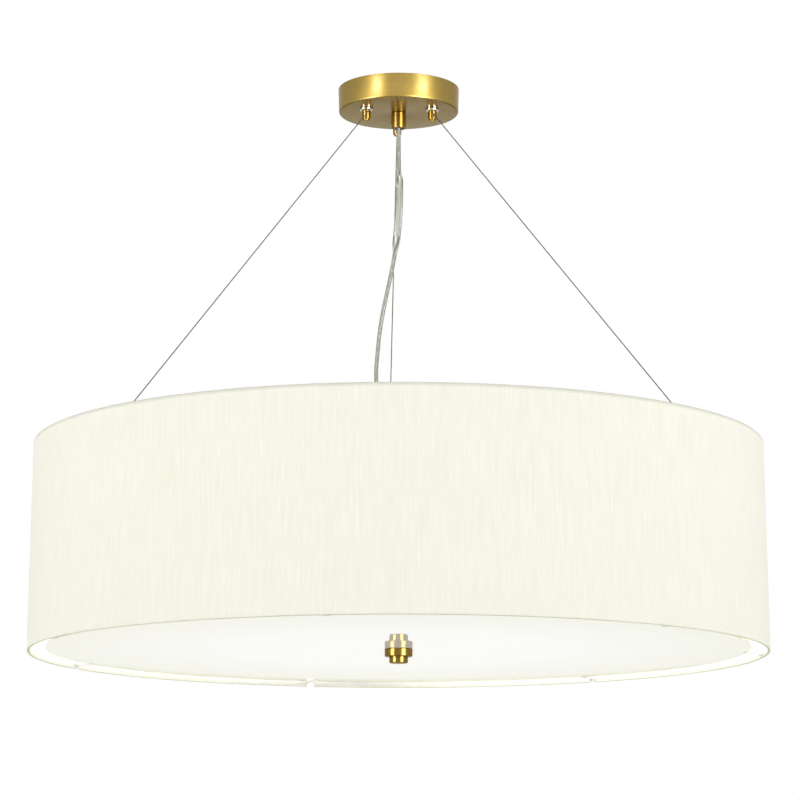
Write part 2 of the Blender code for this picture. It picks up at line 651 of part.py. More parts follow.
def smooth_route(knots, spacing):
    """Points at about even steps on the smooth curve that passes through the knots."""
    knots = [Vector(knot) for knot in knots]
    padded = [2 * knots[0] - knots[1]] + knots + [2 * knots[-1] - knots[-2]]
    points = [knots[0]]
    for before, start, end, after in zip(padded, padded[1:], padded[2:], padded[3:]):
        count = max(1, round((end - start).length / spacing))
        for i in range(1, count + 1):
            t = i / count
            points.append(0.5 * (2 * start + (end - before) * t
                                 + (2 * before - 5 * start + 4 * end - after) * t ** 2
                                 + (3 * start - before - 3 * end + after) * t ** 3))
    return points


def make_cable():
    """The clear power cable's free stretch, from the gland to the grip over the drum's hub."""
    points = smooth_route(CABLE_ROUTE, CABLE_POINT_SPACING)
    points[0].z = CANOPY_UNDERSIDE_Z - FIT_GAP - GLAND_LENGTH + GLAND_INSERT_RECESS - FIT_GAP
    points[-1].z = SPIDER_TOP_Z + FIT_GAP + CABLE_GRIP_HEIGHT + FIT_GAP
    tube("power_cable", points, CABLE_RADIUS, CLEAR_SHEATH)


def ring_radius(height):
    """The radius of a ring wire's middle inside the hem at a height."""
    return drum_radius(height) - FABRIC_THICKNESS - LINING_THICKNESS - 2 * FIT_GAP - RING_WIRE_RADIUS


def make_rings():
    """The two wire rings that the fabric is rolled over."""
    for name, height in (("top_ring", TOP_HEM_Z), ("bottom_ring", BOTTOM_HEM_Z)):
        section = arc((ring_radius(height), height), RING_WIRE_RADIUS, 60, 60 - 360, RING_SIDES)[:-1]
        turned(name, section, WHITE_ENAMEL, DRUM_STEPS, closed=True)


def hem(edge_z, edge_radius, side, radius, steps):
    """The half turn of the fabric round a ring: side is 1 at the top and -1 at the bottom."""
    centre = (edge_radius - HEM_RADIUS, edge_z - side * HEM_RADIUS)
    return arc(centre, radius, 180 * side if side > 0 else 0, 0 if side > 0 else -180, steps)


def make_shade():
    """The fabric, rolled over both rings, and the lining behind it."""
    steps = 3
    inner = HEM_RADIUS - FABRIC_THICKNESS
    tuck_z = BOTTOM_HEM_Z + HEM_TUCK
    tuck_radius = SHADE_BOTTOM_RADIUS - 2 * HEM_RADIUS
    outside = hem(SHADE_TOP_Z, SHADE_TOP_RADIUS, 1, HEM_RADIUS, steps)
    outside += hem(SHADE_BOTTOM_Z, SHADE_BOTTOM_RADIUS, -1, HEM_RADIUS, steps)
    outside += [(tuck_radius, tuck_z), (tuck_radius + FABRIC_THICKNESS, tuck_z)]
    inside = hem(SHADE_TOP_Z, SHADE_TOP_RADIUS, 1, inner, steps)
    inside += hem(SHADE_BOTTOM_Z, SHADE_BOTTOM_RADIUS, -1, inner, steps)
    turned("shade_fabric", outside + inside[::-1], CREAM_FABRIC, DRUM_STEPS, closed=True)
    inset = FABRIC_THICKNESS + FIT_GAP
    top, bottom = SHADE_TOP_RADIUS - inset, SHADE_BOTTOM_RADIUS - inset
    turned("shade_lining", [
        (top, TOP_HEM_Z), (bottom, BOTTOM_HEM_Z), (bottom - LINING_THICKNESS, BOTTOM_HEM_Z),
        (top - LINING_THICKNESS, TOP_HEM_Z)], WHITE_PLASTIC, DRUM_STEPS, closed=True)


def make_spider():
    """The hub plate and its three bars, bent up at the ends to meet the top ring."""
    inset = FABRIC_THICKNESS + FIT_GAP + LINING_THICKNESS + SPIDER_LINING_CLEARANCE / 2
    inset += facet_inset(SHADE_TOP_RADIUS, DRUM_STEPS)
    leg_top = TOP_HEM_Z - RING_WIRE_RADIUS * math.cos(math.pi / RING_SIDES) - FIT_GAP
    bend = SPIDER_BEND_RADIUS
    bend_z = SPIDER_UNDERSIDE_Z + bend
    top_outer = drum_radius(leg_top) - inset
    bend_outer = min(drum_radius(bend_z), drum_radius(SPIDER_UNDERSIDE_Z)) - inset
    start = SPIDER_HUB_RADIUS + FIT_GAP
    corner = (bend_outer - bend, bend_z)
    outline = [(top_outer - SPIDER_BAR_THICKNESS, leg_top), (top_outer, leg_top)]
    outline += arc(corner, bend, 0, -90, 3)
    outline += [(start, SPIDER_UNDERSIDE_Z), (start, SPIDER_TOP_Z)]
    outline += arc(corner, bend - SPIDER_BAR_THICKNESS, -90, 0, 3)
    for k, azimuth in enumerate(WIRE_AZIMUTHS, start=1):
        bar = plate(f"spider_arm_{k}", outline, SPIDER_BAR_WIDTH, WHITE_ENAMEL)
        bar.matrix_world = upright_plate(azimuth)
        place = facing(azimuth, ANCHOR_CIRCLE_RADIUS, SPIDER_TOP_Z)
        cut(bar, rod_cutter(f"rivet_hole_{k}", ANCHOR_STEM_RADIUS + FIT_GAP,
                            2 * (SPIDER_BAR_THICKNESS + CUT_OVERRUN), place))
    hole = STEM_RADIUS + FIT_GAP
    turned("spider_hub", [
        (SPIDER_HUB_RADIUS, SPIDER_TOP_Z), (SPIDER_HUB_RADIUS, SPIDER_UNDERSIDE_Z),
        (hole, SPIDER_UNDERSIDE_Z), (hole, SPIDER_TOP_Z)], WHITE_ENAMEL, closed=True)


def make_stem():
    """The threaded stem that hangs the lamp cluster, its nut and the cable grip on top."""
    stem_top = SPIDER_TOP_Z + STEM_STAND_OUT
    stem_foot = CLUSTER_TOP_Z - CLUSTER_STEM_REACH
    turned("cluster_stem", [
        (STEM_RADIUS, stem_top), (STEM_RADIUS, stem_foot), (STEM_BORE_RADIUS, stem_foot),
        (STEM_BORE_RADIUS, stem_top)], STEEL, SMALL_STEPS, closed=True)
    hex_nut("stem_nut", STEM_NUT_FLATS, STEM_NUT_HEIGHT, STEM_RADIUS + FIT_GAP,
            at(0.0, 0.0, SPIDER_UNDERSIDE_Z - FIT_GAP - STEM_NUT_HEIGHT))
    foot = SPIDER_TOP_Z + FIT_GAP
    shoulder = foot + CABLE_GRIP_BASE_HEIGHT
    nose = foot + CABLE_GRIP_HEIGHT
    bore = STEM_RADIUS + FIT_GAP
    bore_top = stem_top + FIT_GAP
    turned("cable_grip", [
        (CABLE_GRIP_NOSE_RADIUS, nose), (CABLE_GRIP_RADIUS, shoulder), (CABLE_GRIP_RADIUS, foot),
        (bore, foot), (bore, bore_top), (CABLE_GRIP_BORE_RADIUS, bore_top),
        (CABLE_GRIP_BORE_RADIUS, nose)], WHITE_PLASTIC, SMALL_STEPS, closed=True)


def holder_place(azimuth):
    """A lamp's place: on the cluster's axis, local Z pointing outwards."""
    middle = (CLUSTER_TOP_Z + CLUSTER_BOTTOM_Z) / 2
    return along((0.0, 0.0, middle), outward(azimuth))


def make_cluster():
    """The round housing that carries the lampholders, its lid, the long rod and its nut."""
    corner = CLUSTER_EDGE_RADIUS
    edge = (CLUSTER_RADIUS - corner, CLUSTER_TOP_Z - corner)
    hole = STEM_RADIUS + FIT_GAP
    inner = CLUSTER_RADIUS - CLUSTER_WALL
    profile = [(hole, CLUSTER_TOP_Z)] + arc(edge, corner, 90, 0, 3)
    profile += [(CLUSTER_RADIUS, CLUSTER_BOTTOM_Z), (inner, CLUSTER_BOTTOM_Z)]
    profile += arc(edge, corner - CLUSTER_WALL, 0, 90, 2)
    profile += [(hole, CLUSTER_TOP_Z - CLUSTER_WALL)]
    housing = turned("cluster_housing", profile, WHITE_ENAMEL, closed=True)
    for k, azimuth in enumerate(WIRE_AZIMUTHS, start=1):
        place = holder_place(azimuth) @ at(0.0, 0.0, CLUSTER_RADIUS)
        cut(housing, rod_cutter(f"holder_hole_{k}", STEM_RADIUS + FIT_GAP, 4 * CLUSTER_EDGE_RADIUS, place))
    lid_top = CLUSTER_BOTTOM_Z - FIT_GAP
    lip_radius = inner - facet_inset(inner, TURNED_STEPS) - FIT_GAP
    lip_inner = lip_radius - CLUSTER_WALL
    lip_top = lid_top + CLUSTER_LID_LIP_HEIGHT
    rod_hole = ROD_RADIUS + FIT_GAP
    turned("cluster_lid", [
        (lip_inner, lip_top), (lip_radius, lip_top), (lip_radius, lid_top), (CLUSTER_RADIUS, lid_top),
        (CLUSTER_RADIUS, LID_UNDERSIDE_Z), (rod_hole, LID_UNDERSIDE_Z), (rod_hole, lid_top),
        (lip_inner, lid_top)], WHITE_ENAMEL, closed=True)
    rod_top = lid_top + ROD_LID_REACH
    rod_foot = FINIAL_KNOB_TOP_Z - FINIAL_KNOB_HEIGHT + FINIAL_KNOB_FLOOR + FIT_GAP
    turned("threaded_rod", [
        (0.0, rod_top), (ROD_RADIUS, rod_top), (ROD_RADIUS, rod_foot), (0.0, rod_foot)],
        STEEL, SMALL_STEPS)
    hex_nut("rod_nut", ROD_NUT_FLATS, ROD_NUT_HEIGHT, ROD_RADIUS + FIT_GAP,
            at(0.0, 0.0, LID_UNDERSIDE_Z - FIT_GAP - ROD_NUT_HEIGHT))


def make_lamps():
    """Three lampholders on the housing's side, each with a bulb: cap and glass."""
    back = CLUSTER_RADIUS + FIT_GAP
    mouth = back + HOLDER_LENGTH
    floor = mouth - HOLDER_BORE_DEPTH
    stem_end = CLUSTER_RADIUS - HOLDER_STEM_REACH
    holder_profile = [
        (0.0, floor), (HOLDER_BORE_RADIUS, floor), (HOLDER_BORE_RADIUS, mouth),
        (HOLDER_RADIUS - HOLDER_EDGE, mouth), (HOLDER_RADIUS, mouth - HOLDER_EDGE),
        (HOLDER_RADIUS, back + HOLDER_TAPER_LENGTH), (HOLDER_BACK_RADIUS, back), (STEM_RADIUS, back),
        (STEM_RADIUS, stem_end), (0.0, stem_end)]
    cap_foot = floor + FIT_GAP
    cap_top = cap_foot + CAP_LENGTH
    cone_foot = cap_foot + CAP_CONTACT_HEIGHT
    cap_profile = [
        (0.0, cap_top), (CAP_RADIUS, cap_top), (CAP_RADIUS, cone_foot + CAP_CONE_HEIGHT),
        (CAP_CONE_RADIUS, cone_foot), (CAP_CONTACT_RADIUS, cone_foot), (CAP_CONTACT_RADIUS, cap_foot),
        (0.0, cap_foot)]
    glass_foot = cap_top + FIT_GAP
    glass_profile = [(radius_share * BULB_RADIUS, glass_foot + length_share * BULB_LENGTH)
                     for radius_share, length_share in reversed(BULB_OUTLINE_SHARES)]
    glass_profile.append((0.0, glass_foot))
    for k, azimuth in enumerate(WIRE_AZIMUTHS, start=1):
        holder = turned(f"lampholder_{k}", holder_profile, WHITE_PLASTIC, SMALL_STEPS)
        cap = turned(f"bulb_cap_{k}", cap_profile, STEEL, SMALL_STEPS)
        glass = turned(f"bulb_glass_{k}", glass_profile, OPAL, SMALL_STEPS)
        for piece in (holder, cap, glass):
            piece.matrix_world = holder_place(azimuth)


def make_diffuser():
    """The opal disc that lies in the drum's mouth, drawn up slightly in its middle by the rod."""
    hole = ROD_RADIUS + FIT_GAP
    turned("diffuser_disc", [
        (DIFFUSER_RADIUS, DIFFUSER_EDGE_Z + DIFFUSER_THICKNESS), (DIFFUSER_RADIUS, DIFFUSER_EDGE_Z),
        (hole, DIFFUSER_CENTRE_Z), (hole, DIFFUSER_CENTRE_Z + DIFFUSER_THICKNESS)],
        OPAL, DRUM_STEPS, closed=True)


def make_clips():
    """Seven clips that hook over the bottom hem and carry the diffuser's edge."""
    hem_inner = SHADE_BOTTOM_RADIUS - 2 * HEM_RADIUS
    leg_outer = hem_inner - facet_inset(hem_inner, DRUM_STEPS) - FIT_GAP
    leg_inner = leg_outer - CLIP_THICKNESS
    tongue_top = DIFFUSER_EDGE_Z - FIT_GAP
    tongue_foot = tongue_top - CLIP_THICKNESS
    tip = DIFFUSER_RADIUS - CLIP_REST
    hook_foot = BOTTOM_HEM_Z + HEM_TUCK + FIT_GAP
    hook_end = leg_outer + CLIP_HOOK_REACH
    leg_foot = tongue_foot - CLIP_LEG_HEIGHT
    hook_top = hook_foot + CLIP_THICKNESS
    outline = [(tip, tongue_top), (tip, tongue_foot), (leg_inner, tongue_foot), (leg_inner, leg_foot),
               (leg_outer, leg_foot), (leg_outer, hook_foot), (hook_end, hook_foot),
               (hook_end, hook_top), (leg_inner, hook_top), (leg_inner, tongue_top)]
    for k in range(CLIP_COUNT):
        clip = plate(f"diffuser_clip_{k + 1}", outline, CLIP_WIDTH, WHITE_PLASTIC)
        clip.matrix_world = upright_plate(CLIP_FIRST_AZIMUTH + 360 * k / CLIP_COUNT)


def make_finial():
    """The brass disc under the diffuser and the knob that screws onto the rod."""
    disc_foot = FINIAL_DISC_TOP_Z - FINIAL_DISC_HEIGHT
    hole = ROD_RADIUS + FIT_GAP
    edge = FINIAL_DISC_EDGE
    profile = [(hole, FINIAL_DISC_TOP_Z)]
    profile += arc((FINIAL_DISC_RADIUS - edge, FINIAL_DISC_TOP_Z - edge), edge, 90, 0, 2)
    profile += arc((FINIAL_DISC_RADIUS - 2 * edge, disc_foot + 2 * edge), 2 * edge, 0, -90, 2)
    profile += [(hole, disc_foot)]
    disc = turned("finial_disc", profile, BRASS, closed=True)
    knob_foot = FINIAL_KNOB_TOP_Z - FINIAL_KNOB_HEIGHT
    bore_floor = knob_foot + FINIAL_KNOB_FLOOR
    edge = FINIAL_KNOB_EDGE
    profile = [(0.0, bore_floor), (hole, bore_floor), (hole, FINIAL_KNOB_TOP_Z),
               (FINIAL_KNOB_RADIUS - EDGE_CHAMFER, FINIAL_KNOB_TOP_Z),
               (FINIAL_KNOB_RADIUS, FINIAL_KNOB_TOP_Z - EDGE_CHAMFER)]
    profile += arc((FINIAL_KNOB_RADIUS - edge, knob_foot + edge), edge, 0, -90, 3)
    profile += [(0.0, knob_foot)]
    knob = turned("finial_knob", profile, BRASS)
    knob.parent = disc


make_bracket()
make_canopy()
make_side_screws()
make_terminal_block()
make_gland()
wire_starts = make_grippers()
wire_ends = make_anchors()
make_wires(wire_starts, wire_ends)
make_cable()
make_rings()
make_shade()
make_spider()
make_stem()
make_cluster()
make_lamps()
make_diffuser()
make_clips()
make_finial()
bpy.context.view_layer.update()
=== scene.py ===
"""Drum pendant light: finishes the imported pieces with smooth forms, cloth, cable and materials."""
import math

import bmesh
import bpy
import numpy as np
from bpy.props import FloatProperty, FloatVectorProperty, IntProperty, PointerProperty
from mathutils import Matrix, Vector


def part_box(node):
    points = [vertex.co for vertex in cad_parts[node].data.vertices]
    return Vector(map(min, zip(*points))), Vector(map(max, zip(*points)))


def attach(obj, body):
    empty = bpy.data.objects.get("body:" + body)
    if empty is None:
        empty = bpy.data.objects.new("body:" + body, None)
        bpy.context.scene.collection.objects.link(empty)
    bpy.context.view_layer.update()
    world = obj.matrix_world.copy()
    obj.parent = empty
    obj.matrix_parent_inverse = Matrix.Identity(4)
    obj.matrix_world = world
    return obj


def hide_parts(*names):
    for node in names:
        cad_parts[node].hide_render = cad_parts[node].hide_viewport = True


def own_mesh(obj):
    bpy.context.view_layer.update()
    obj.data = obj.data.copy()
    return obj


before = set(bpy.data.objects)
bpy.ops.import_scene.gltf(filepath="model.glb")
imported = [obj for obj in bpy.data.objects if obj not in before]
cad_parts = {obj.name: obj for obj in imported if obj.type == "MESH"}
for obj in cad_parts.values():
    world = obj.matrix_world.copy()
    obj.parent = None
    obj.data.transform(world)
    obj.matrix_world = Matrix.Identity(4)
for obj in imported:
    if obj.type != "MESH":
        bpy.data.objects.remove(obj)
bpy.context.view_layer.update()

bl_info = {
    "name": "Drum Pendant Light",
    "version": (1, 0, 0),
    "blender": (4, 5, 0),
    "location": "3D View > Sidebar > Pendant",
    "description": "Makes the finished pieces of a drum pendant light over its packed frame",
    "category": "Add Mesh",
}

TAU = 2 * math.pi
UP = np.array((0.0, 0.0, 1.0))
LENGTH = {"unit": "LENGTH", "subtype": "DISTANCE"}
THREE = (1, 2, 3)
WIRE_AZIMUTHS = (302.2, 62.2, 182.2)
BARREL_AZIMUTHS = (22.0, 356.0, 182.2)
CLIP_AZIMUTHS = tuple(92.9 + 360 * k / 7 for k in range(7))

# Heights and radii of the frame, in metres, as the part's own source has them
FIT = 0.0003
BORE = 0.0052
CANOPY_TOP = -0.0005
CANOPY_FOOT = -0.0315
CANOPY_FLOOR = -0.0305
BRACKET_FOOT = -0.0016
GLAND_MOUTH = -0.0513
GRIPPER_CIRCLE = 0.0482
SHADE_TOP = -0.466
SHADE_FOOT = -0.723
SHADE_TOP_RADIUS = 0.452
SHADE_FOOT_RADIUS = 0.455
HEM = 0.00205
CLOTH = 0.0005
LINING = 0.0004
RING = 0.0009
SPIDER_TOP = -0.488
SPIDER_THICKNESS = 0.0025
ANCHOR_CIRCLE = 0.4055
CLUSTER_TOP = -0.568
CLUSTER_FOOT = -0.604
CLUSTER_RADIUS = 0.042
LAMP_HEIGHT = -0.586
CAP_LENGTH = 0.0277
DIFFUSER_EDGE = -0.7176
DIFFUSER_CENTRE = -0.7151
DIFFUSER_RADIUS = 0.432
DIFFUSER_THICKNESS = 0.003
FINIAL_TOP = -0.7154
FINIAL_FOOT = -0.7244
KNOB_TOP = -0.7247
KNOB_FOOT = -0.7324
# Heights of a gripper from the ceiling plate's underside
SEAT_FOOT = -0.0037
BARREL_TOP = -0.0040
BARREL_FOOT = -0.0144
BARREL_HOLE = -0.0063
# Where the cloth turns round the bottom ring, as a distance along its profile from the top edge
CLOTH_FOLD = math.pi * HEM + SHADE_TOP - SHADE_FOOT - 2 * HEM + math.pi * HEM / 2
CABLE_ROUTE = (
    (0.0, 0.0, -0.0510), (0.0, 0.0, -0.0700), (0.0004, -0.001, -0.1000), (0.0010, -0.003, -0.1300),
    (0.0004, -0.005, -0.1600), (-0.0024, -0.006, -0.1950), (-0.0062, -0.006, -0.2250),
    (-0.0115, -0.005, -0.2520), (-0.0185, -0.003, -0.2850), (-0.0235, -0.001, -0.3150),
    (-0.0268, 0.0, -0.3480), (-0.0282, 0.0, -0.3700), (-0.0262, 0.0, -0.3950), (-0.0200, 0.0, -0.4180),
    (-0.0100, 0.0, -0.4390), (-0.0025, 0.0, -0.4560), (0.0, 0.0, -0.4680), (0.0, 0.0, -0.4734))
# Half the outline of a bulb, from its cap: radius and distance
BULB_OUTLINE = (
    (0.0129, 0.0), (0.0141, 0.0104), (0.0186, 0.0216), (0.0255, 0.0344), (0.0291, 0.0448),
    (0.0299, 0.0528), (0.0279, 0.0632), (0.0222, 0.0720), (0.0126, 0.0780), (0.0, 0.08))
# Name, azimuth, height, width and height of the face, watts, distance, and whether gloss alone shows it
LAMPS = (
    ("left_high_box", -41.0, 0.68, (0.80, 0.36), 30.0, 3.0, True),
    ("right_high_box", 46.0, 0.68, (0.80, 0.36), 30.0, 3.0, True),
    ("left_tall_box", -54.0, -1.25, (1.3, 1.9), 190.0, 3.0, True),
    ("right_tall_box", 42.0, -1.25, (1.5, 1.9), 270.0, 3.0, True),
    ("front_box", 2.0, 0.68, (1.7, 0.5), 4.0, 3.0, True),
    ("left_key", -43.0, 0.1, (1.2, 1.8), 31.5, 3.0, False),
    ("right_key", 44.0, 0.1, (1.2, 1.8), 31.5, 3.0, False),
    ("left_fill", -78.0, 0.0, (1.6, 1.6), 12.0, 3.0, False),
    ("right_fill", 78.0, 0.0, (1.6, 1.6), 12.0, 3.0, False),
    ("low_fill", 0.0, -1.9, (1.0, 1.0), 6.9, 0.0, False),
    ("back_key", 180.0, 0.3, (1.6, 1.4), 18.0, 3.0, False))
LAMP_AIM = -0.45
FLOOR_HEIGHT = -4.2
FLOOR_REACH = 11.0


class PENDANT_PG_sizes(bpy.types.PropertyGroup):
    """Sizes that the finished pieces add to the frame's own."""

    round_steps: IntProperty(
        name="Round steps", description="Columns round a turned piece the size of the drum",
        default=288, min=48, max=512)
    wire_diameter: FloatProperty(
        name="Wire diameter", description="Outside diameter of the stranded suspension wire",
        default=0.0014, **LENGTH)
    wire_lay: FloatProperty(
        name="Wire lay", description="Length in which a strand goes once round the wire",
        default=0.0085, **LENGTH)
    cable_width: FloatProperty(
        name="Cable width", description="Width of the flat clear cable across its three cores",
        default=0.0096, **LENGTH)
    cable_thickness: FloatProperty(
        name="Cable thickness", description="Thickness of the flat clear cable", default=0.0054, **LENGTH)
    height_travel: FloatProperty(
        name="Height travel", description="How far the drum goes up its wires", default=0.25, **LENGTH)
    thread_pitch: FloatProperty(
        name="Thread pitch", description="Pitch of the stem's and rod's thread", default=0.001, **LENGTH)
    weave_pitch: FloatProperty(
        name="Weave pitch", description="Distance between threads of the drum's cloth",
        default=0.0007, **LENGTH)


class PENDANT_PG_colours(bpy.types.PropertyGroup):
    """Base colours of the finishes."""

    cloth: FloatVectorProperty(
        name="Cloth", description="Cream cotton of the drum", subtype="COLOR", default=(0.868, 0.860, 0.80))
    brass: FloatVectorProperty(
        name="Brass", description="Lacquered antique brass", subtype="COLOR", default=(0.255, 0.174, 0.034))
    chrome: FloatVectorProperty(
        name="Chrome", description="Bright plated gripper seats", subtype="COLOR",
        default=(0.55, 0.556, 0.57))
    steel: FloatVectorProperty(
        name="Steel", description="Zinc plated steel", subtype="COLOR", default=(0.46, 0.46, 0.45))
    enamel: FloatVectorProperty(
        name="Enamel", description="White powder coat of the spider and cluster", subtype="COLOR",
        default=(0.82, 0.81, 0.77))
    opal: FloatVectorProperty(
        name="Opal", description="Opal acrylic of the diffuser", subtype="COLOR",
        default=(0.93, 0.928, 0.86))
    sheath: FloatVectorProperty(
        name="Sheath", description="Clear sheath over pale cores", subtype="COLOR",
        default=(0.36, 0.36, 0.32))


class Value:
    """A shader socket on which Python's operators do sums."""

    def __init__(self, nodes, socket):
        self.nodes = nodes
        self.socket = socket

    def sum(self, operation, *values):
        return self.nodes.node("ShaderNodeMath", dict(enumerate(values)), operation=operation)

    def __add__(self, other): return self.sum("ADD", self, other)
    def __radd__(self, other): return self.sum("ADD", other, self)
    def __sub__(self, other): return self.sum("SUBTRACT", self, other)
    def __rsub__(self, other): return self.sum("SUBTRACT", other, self)
    def __mul__(self, other): return self.sum("MULTIPLY", self, other)
    def __rmul__(self, other): return self.sum("MULTIPLY", other, self)
    def __pow__(self, other): return self.sum("POWER", self, other)
    def larger(self, other): return self.sum("MAXIMUM", self, other)
    def under(self, limit): return self.sum("LESS_THAN", self, limit)
    def sine(self): return self.sum("SINE", self)
    def cosine(self): return self.sum("COSINE", self)
    def size(self): return self.sum("ABSOLUTE", self)

    def band(self, low, high):
        """0 below low, 1 above high and a straight rise in between."""
        return self.nodes.node("ShaderNodeMapRange", {"Value": self, "From Min": low, "From Max": high},
                               clamp=True)


class Nodes:
    """A node tree in the making."""

    def __init__(self, tree):
        self.tree = tree

    def node(self, kind, inputs, output=0, **settings):
        """Adds a node: its settings first, then the values or links of its sockets. Gives one output, or
        the list of all for None."""
        node = self.tree.nodes.new(kind)
        for key, value in settings.items():
            setattr(node, key, value)
        for key, value in inputs.items():
            self.feed(node.inputs[key], value)
        every = [Value(self, socket) for socket in node.outputs]
        return every if output is None else Value(self, node.outputs[output])

    def feed(self, socket, value):
        if isinstance(value, Value):
            self.tree.links.new(value.socket, socket)
        else:
            socket.default_value = value


class Finish(Nodes):
    """A material in the making."""

    def __init__(self, name, colour, roughness, metallic=0.0, **sockets):
        self.material = bpy.data.materials.new(name)
        self.material.use_nodes = True
        super().__init__(self.material.node_tree)
        self.shader = self.tree.nodes["Principled BSDF"]
        self.set(Base_Color=(*colour, 1.0), Roughness=roughness, Metallic=metallic, **sockets)

    def set(self, **sockets):
        """Feeds the shader's own sockets, whose names have _ for a space."""
        for key, value in sockets.items():
            self.feed(self.shader.inputs[key.replace("_", " ")], value)
        return self

    def place(self):
        return self.node("ShaderNodeTexCoord", {}, "Object")

    def split(self, vector):
        return self.node("ShaderNodeSeparateXYZ", {0: vector}, None)

    def unrolled(self):
        """The two ways of the piece's UV map: round it, and along its profile or path."""
        return self.split(self.node("ShaderNodeUVMap", {}, uv_map="UVMap"))[:2]

    def noise(self, vector, scale, detail=3.0, roughness=0.5):
        return self.node("ShaderNodeTexNoise", {
            "Vector": vector, "Scale": scale, "Detail": detail, "Roughness": roughness})

    def drawn(self, x, y, detail, roughness, z=0.0):
        """Noise drawn out by its own scale each way."""
        return self.noise(self.node("ShaderNodeCombineXYZ", {0: x, 1: y, 2: z}), 1.0, detail, roughness)

    def cells(self, vector, scale, output="Distance"):
        return self.node("ShaderNodeTexVoronoi", {"Vector": vector, "Scale": scale}, output)

    def layered(self, body, *layers):
        """A colour under others, each a mask and a colour, which are triples or sockets."""
        for mask, colour in layers:
            both = [c if isinstance(c, Value) else (*c, 1.0) for c in (body, colour)]
            body = self.node("ShaderNodeMix", {0: mask, 6: both[0], 7: both[1]}, 2, data_type="RGBA")
        return body

    def bump(self, height, depth, strength):
        return self.node("ShaderNodeBump", {"Height": height, "Strength": strength, "Distance": depth})


def tint(colour, *scales):
    """A colour scaled by one number, or by one for each channel."""
    return tuple(min(1.0, c * k) for c, k in zip(colour, scales * 3))


def cloth_finish(name, colour):
    """Slubbed plain weave: crossing threads, long pale and yellowish slubs down the drum, fine fuzz,
    painted olive shade on the fold under the bottom ring and painted grey shade along the top edge."""
    cloth = Finish(name, colour, 0.92)
    across, along = cloth.unrolled()
    turns = TAU / sizes().weave_pitch
    warp, weft = (across * turns).sine(), (along * turns).sine()
    slubs = cloth.drawn(across * 310.0, along * 16.0, 4.0, 0.62)
    bars = cloth.drawn(across * 22.0, along * 420.0, 2.0, 0.5)
    broad = cloth.drawn(across * 60.0, along * 5.0, 3.0, 0.6)
    threads = cloth.drawn(across * 640.0, along * 34.0, 2.0, 0.6)
    # painted shade: the top hem and the band just under it are greyed, darker at the edge
    top_edge_shade = 1.0 - along.band(HEM * 2.3, HEM * 4.6)
    body = cloth.layered(
        tint(colour, 0.95, 0.935, 0.80),
        (slubs.band(0.34, 0.70), tint(colour, 1.06)),
        (broad.band(0.30, 0.72) * 0.6, tint(colour, 1.02, 1.0, 0.93)),
        (threads.band(0.35, 0.70) * 0.6, tint(colour, 0.95, 0.95, 0.93)),
        ((warp * weft).band(-1.0, 1.0) * 0.10, tint(colour, 0.90)),
        (top_edge_shade * 0.95, tint(colour, 0.63, 0.64, 0.58)),
        # painted shade: the fold under the bottom ring, which faces down, is tinted olive
        ((along - CLOTH_FOLD).size().under(0.0016), tint(colour, 0.61, 0.63, 0.42)))
    relief = warp * 0.35 + weft * 0.35 + slubs * 1.6 + bars * 0.7 + threads * 0.6
    return cloth.set(Base_Color=body, Roughness=0.88 + slubs * 0.10,
                     Normal=cloth.bump(relief, 0.00016, 0.55), Sheen_Weight=0.04, Sheen_Roughness=0.5)


def brass_finish(name, colour, roughness, marks, rim=None, spread=0.0):
    """Lacquered brass: fine turning marks round the piece, darker clouds and faint handling marks. The
    marks draw highlights out across them by the spread. Past the rim, at that length along the profile,
    the lacquer is a little thicker and the colour is greyer and bluer as painted reflection, and a dark
    line of painted shade lies on the rim."""
    brass = Finish(name, colour, roughness, 1.0, Anisotropic=spread, Anisotropic_Rotation=0.25)
    around, along = brass.unrolled()
    turned = brass.drawn(around * 9.0, along * marks, 3.0, 0.65)
    hairs = brass.drawn(around * 7.0, along * marks * 0.22, 3.0, 0.7)
    place = brass.place()
    clouds = brass.noise(place, 38.0, 4.0, 0.6)
    body = brass.layered(
        tint(colour, 0.93, 0.92, 0.88),
        (clouds.band(0.32, 0.72), tint(colour, 1.06, 1.05, 1.02)),
        (turned.band(0.3, 0.7) * 0.25, tint(colour, 0.86)),
        (hairs.band(0.40, 0.62) * 0.7, tint(colour, 0.84, 0.83, 0.78)),
        (brass.cells(place, 900.0).under(0.11) * 0.25, tint(colour, 0.60, 0.57, 0.55)))
    coat, veil, depth = 0.18, 0.18, 0.08
    if rim:
        # painted shade: a dark line on the rounded rim; painted reflection: the underside past it tinted
        # greyer and bluer
        line = along.band(rim - 0.0016, rim - 0.0006) * (1.0 - along.band(rim + 0.0006, rim + 0.0014))
        beyond = along.band(rim, rim + 0.0010)
        body = brass.layered(body, (line * 0.62, tint(colour, 0.40, 0.38, 0.22)),
                             (beyond * 0.8, tint(colour, 0.86, 0.92, 1.45)))
        coat, veil, depth = 0.50 + beyond * 0.02, 0.24, 0.3
    return brass.set(Base_Color=body, Roughness=roughness - 0.04 + turned * 0.06 + clouds * 0.04,
                     Normal=brass.bump(turned, 0.00003, depth), Coat_Weight=coat, Coat_Roughness=veil,
                     Coat_IOR=1.5, Specular_Tint=(0.62, 0.50, 0.30, 1.0))


def polished_finish(name, colour):
    """The brighter brass of the small turned pieces."""
    return brass_finish(name, tint(colour, 1.06, 0.98, 0.92), 0.38, 3600.0, None, 0.93)


def plated_finish(name, colour, roughness):
    """Plated metal: turning marks, a dull bloom in places and small pits."""
    metal = Finish(name, colour, roughness, 1.0)
    around, along = metal.unrolled()
    turned = metal.drawn(around * 12.0, along * 1800.0, 2.0, 0.6)
    bloom = metal.noise(metal.place(), 85.0, 5.0, 0.6)
    return metal.set(
        Base_Color=metal.layered(tint(colour, 0.90), (bloom.band(0.35, 0.75), tint(colour, 1.08))),
        Roughness=roughness * 0.75 + bloom * roughness * 0.6,
        Normal=metal.bump(turned * 0.6 + bloom * 0.4, 0.00003, 0.4))


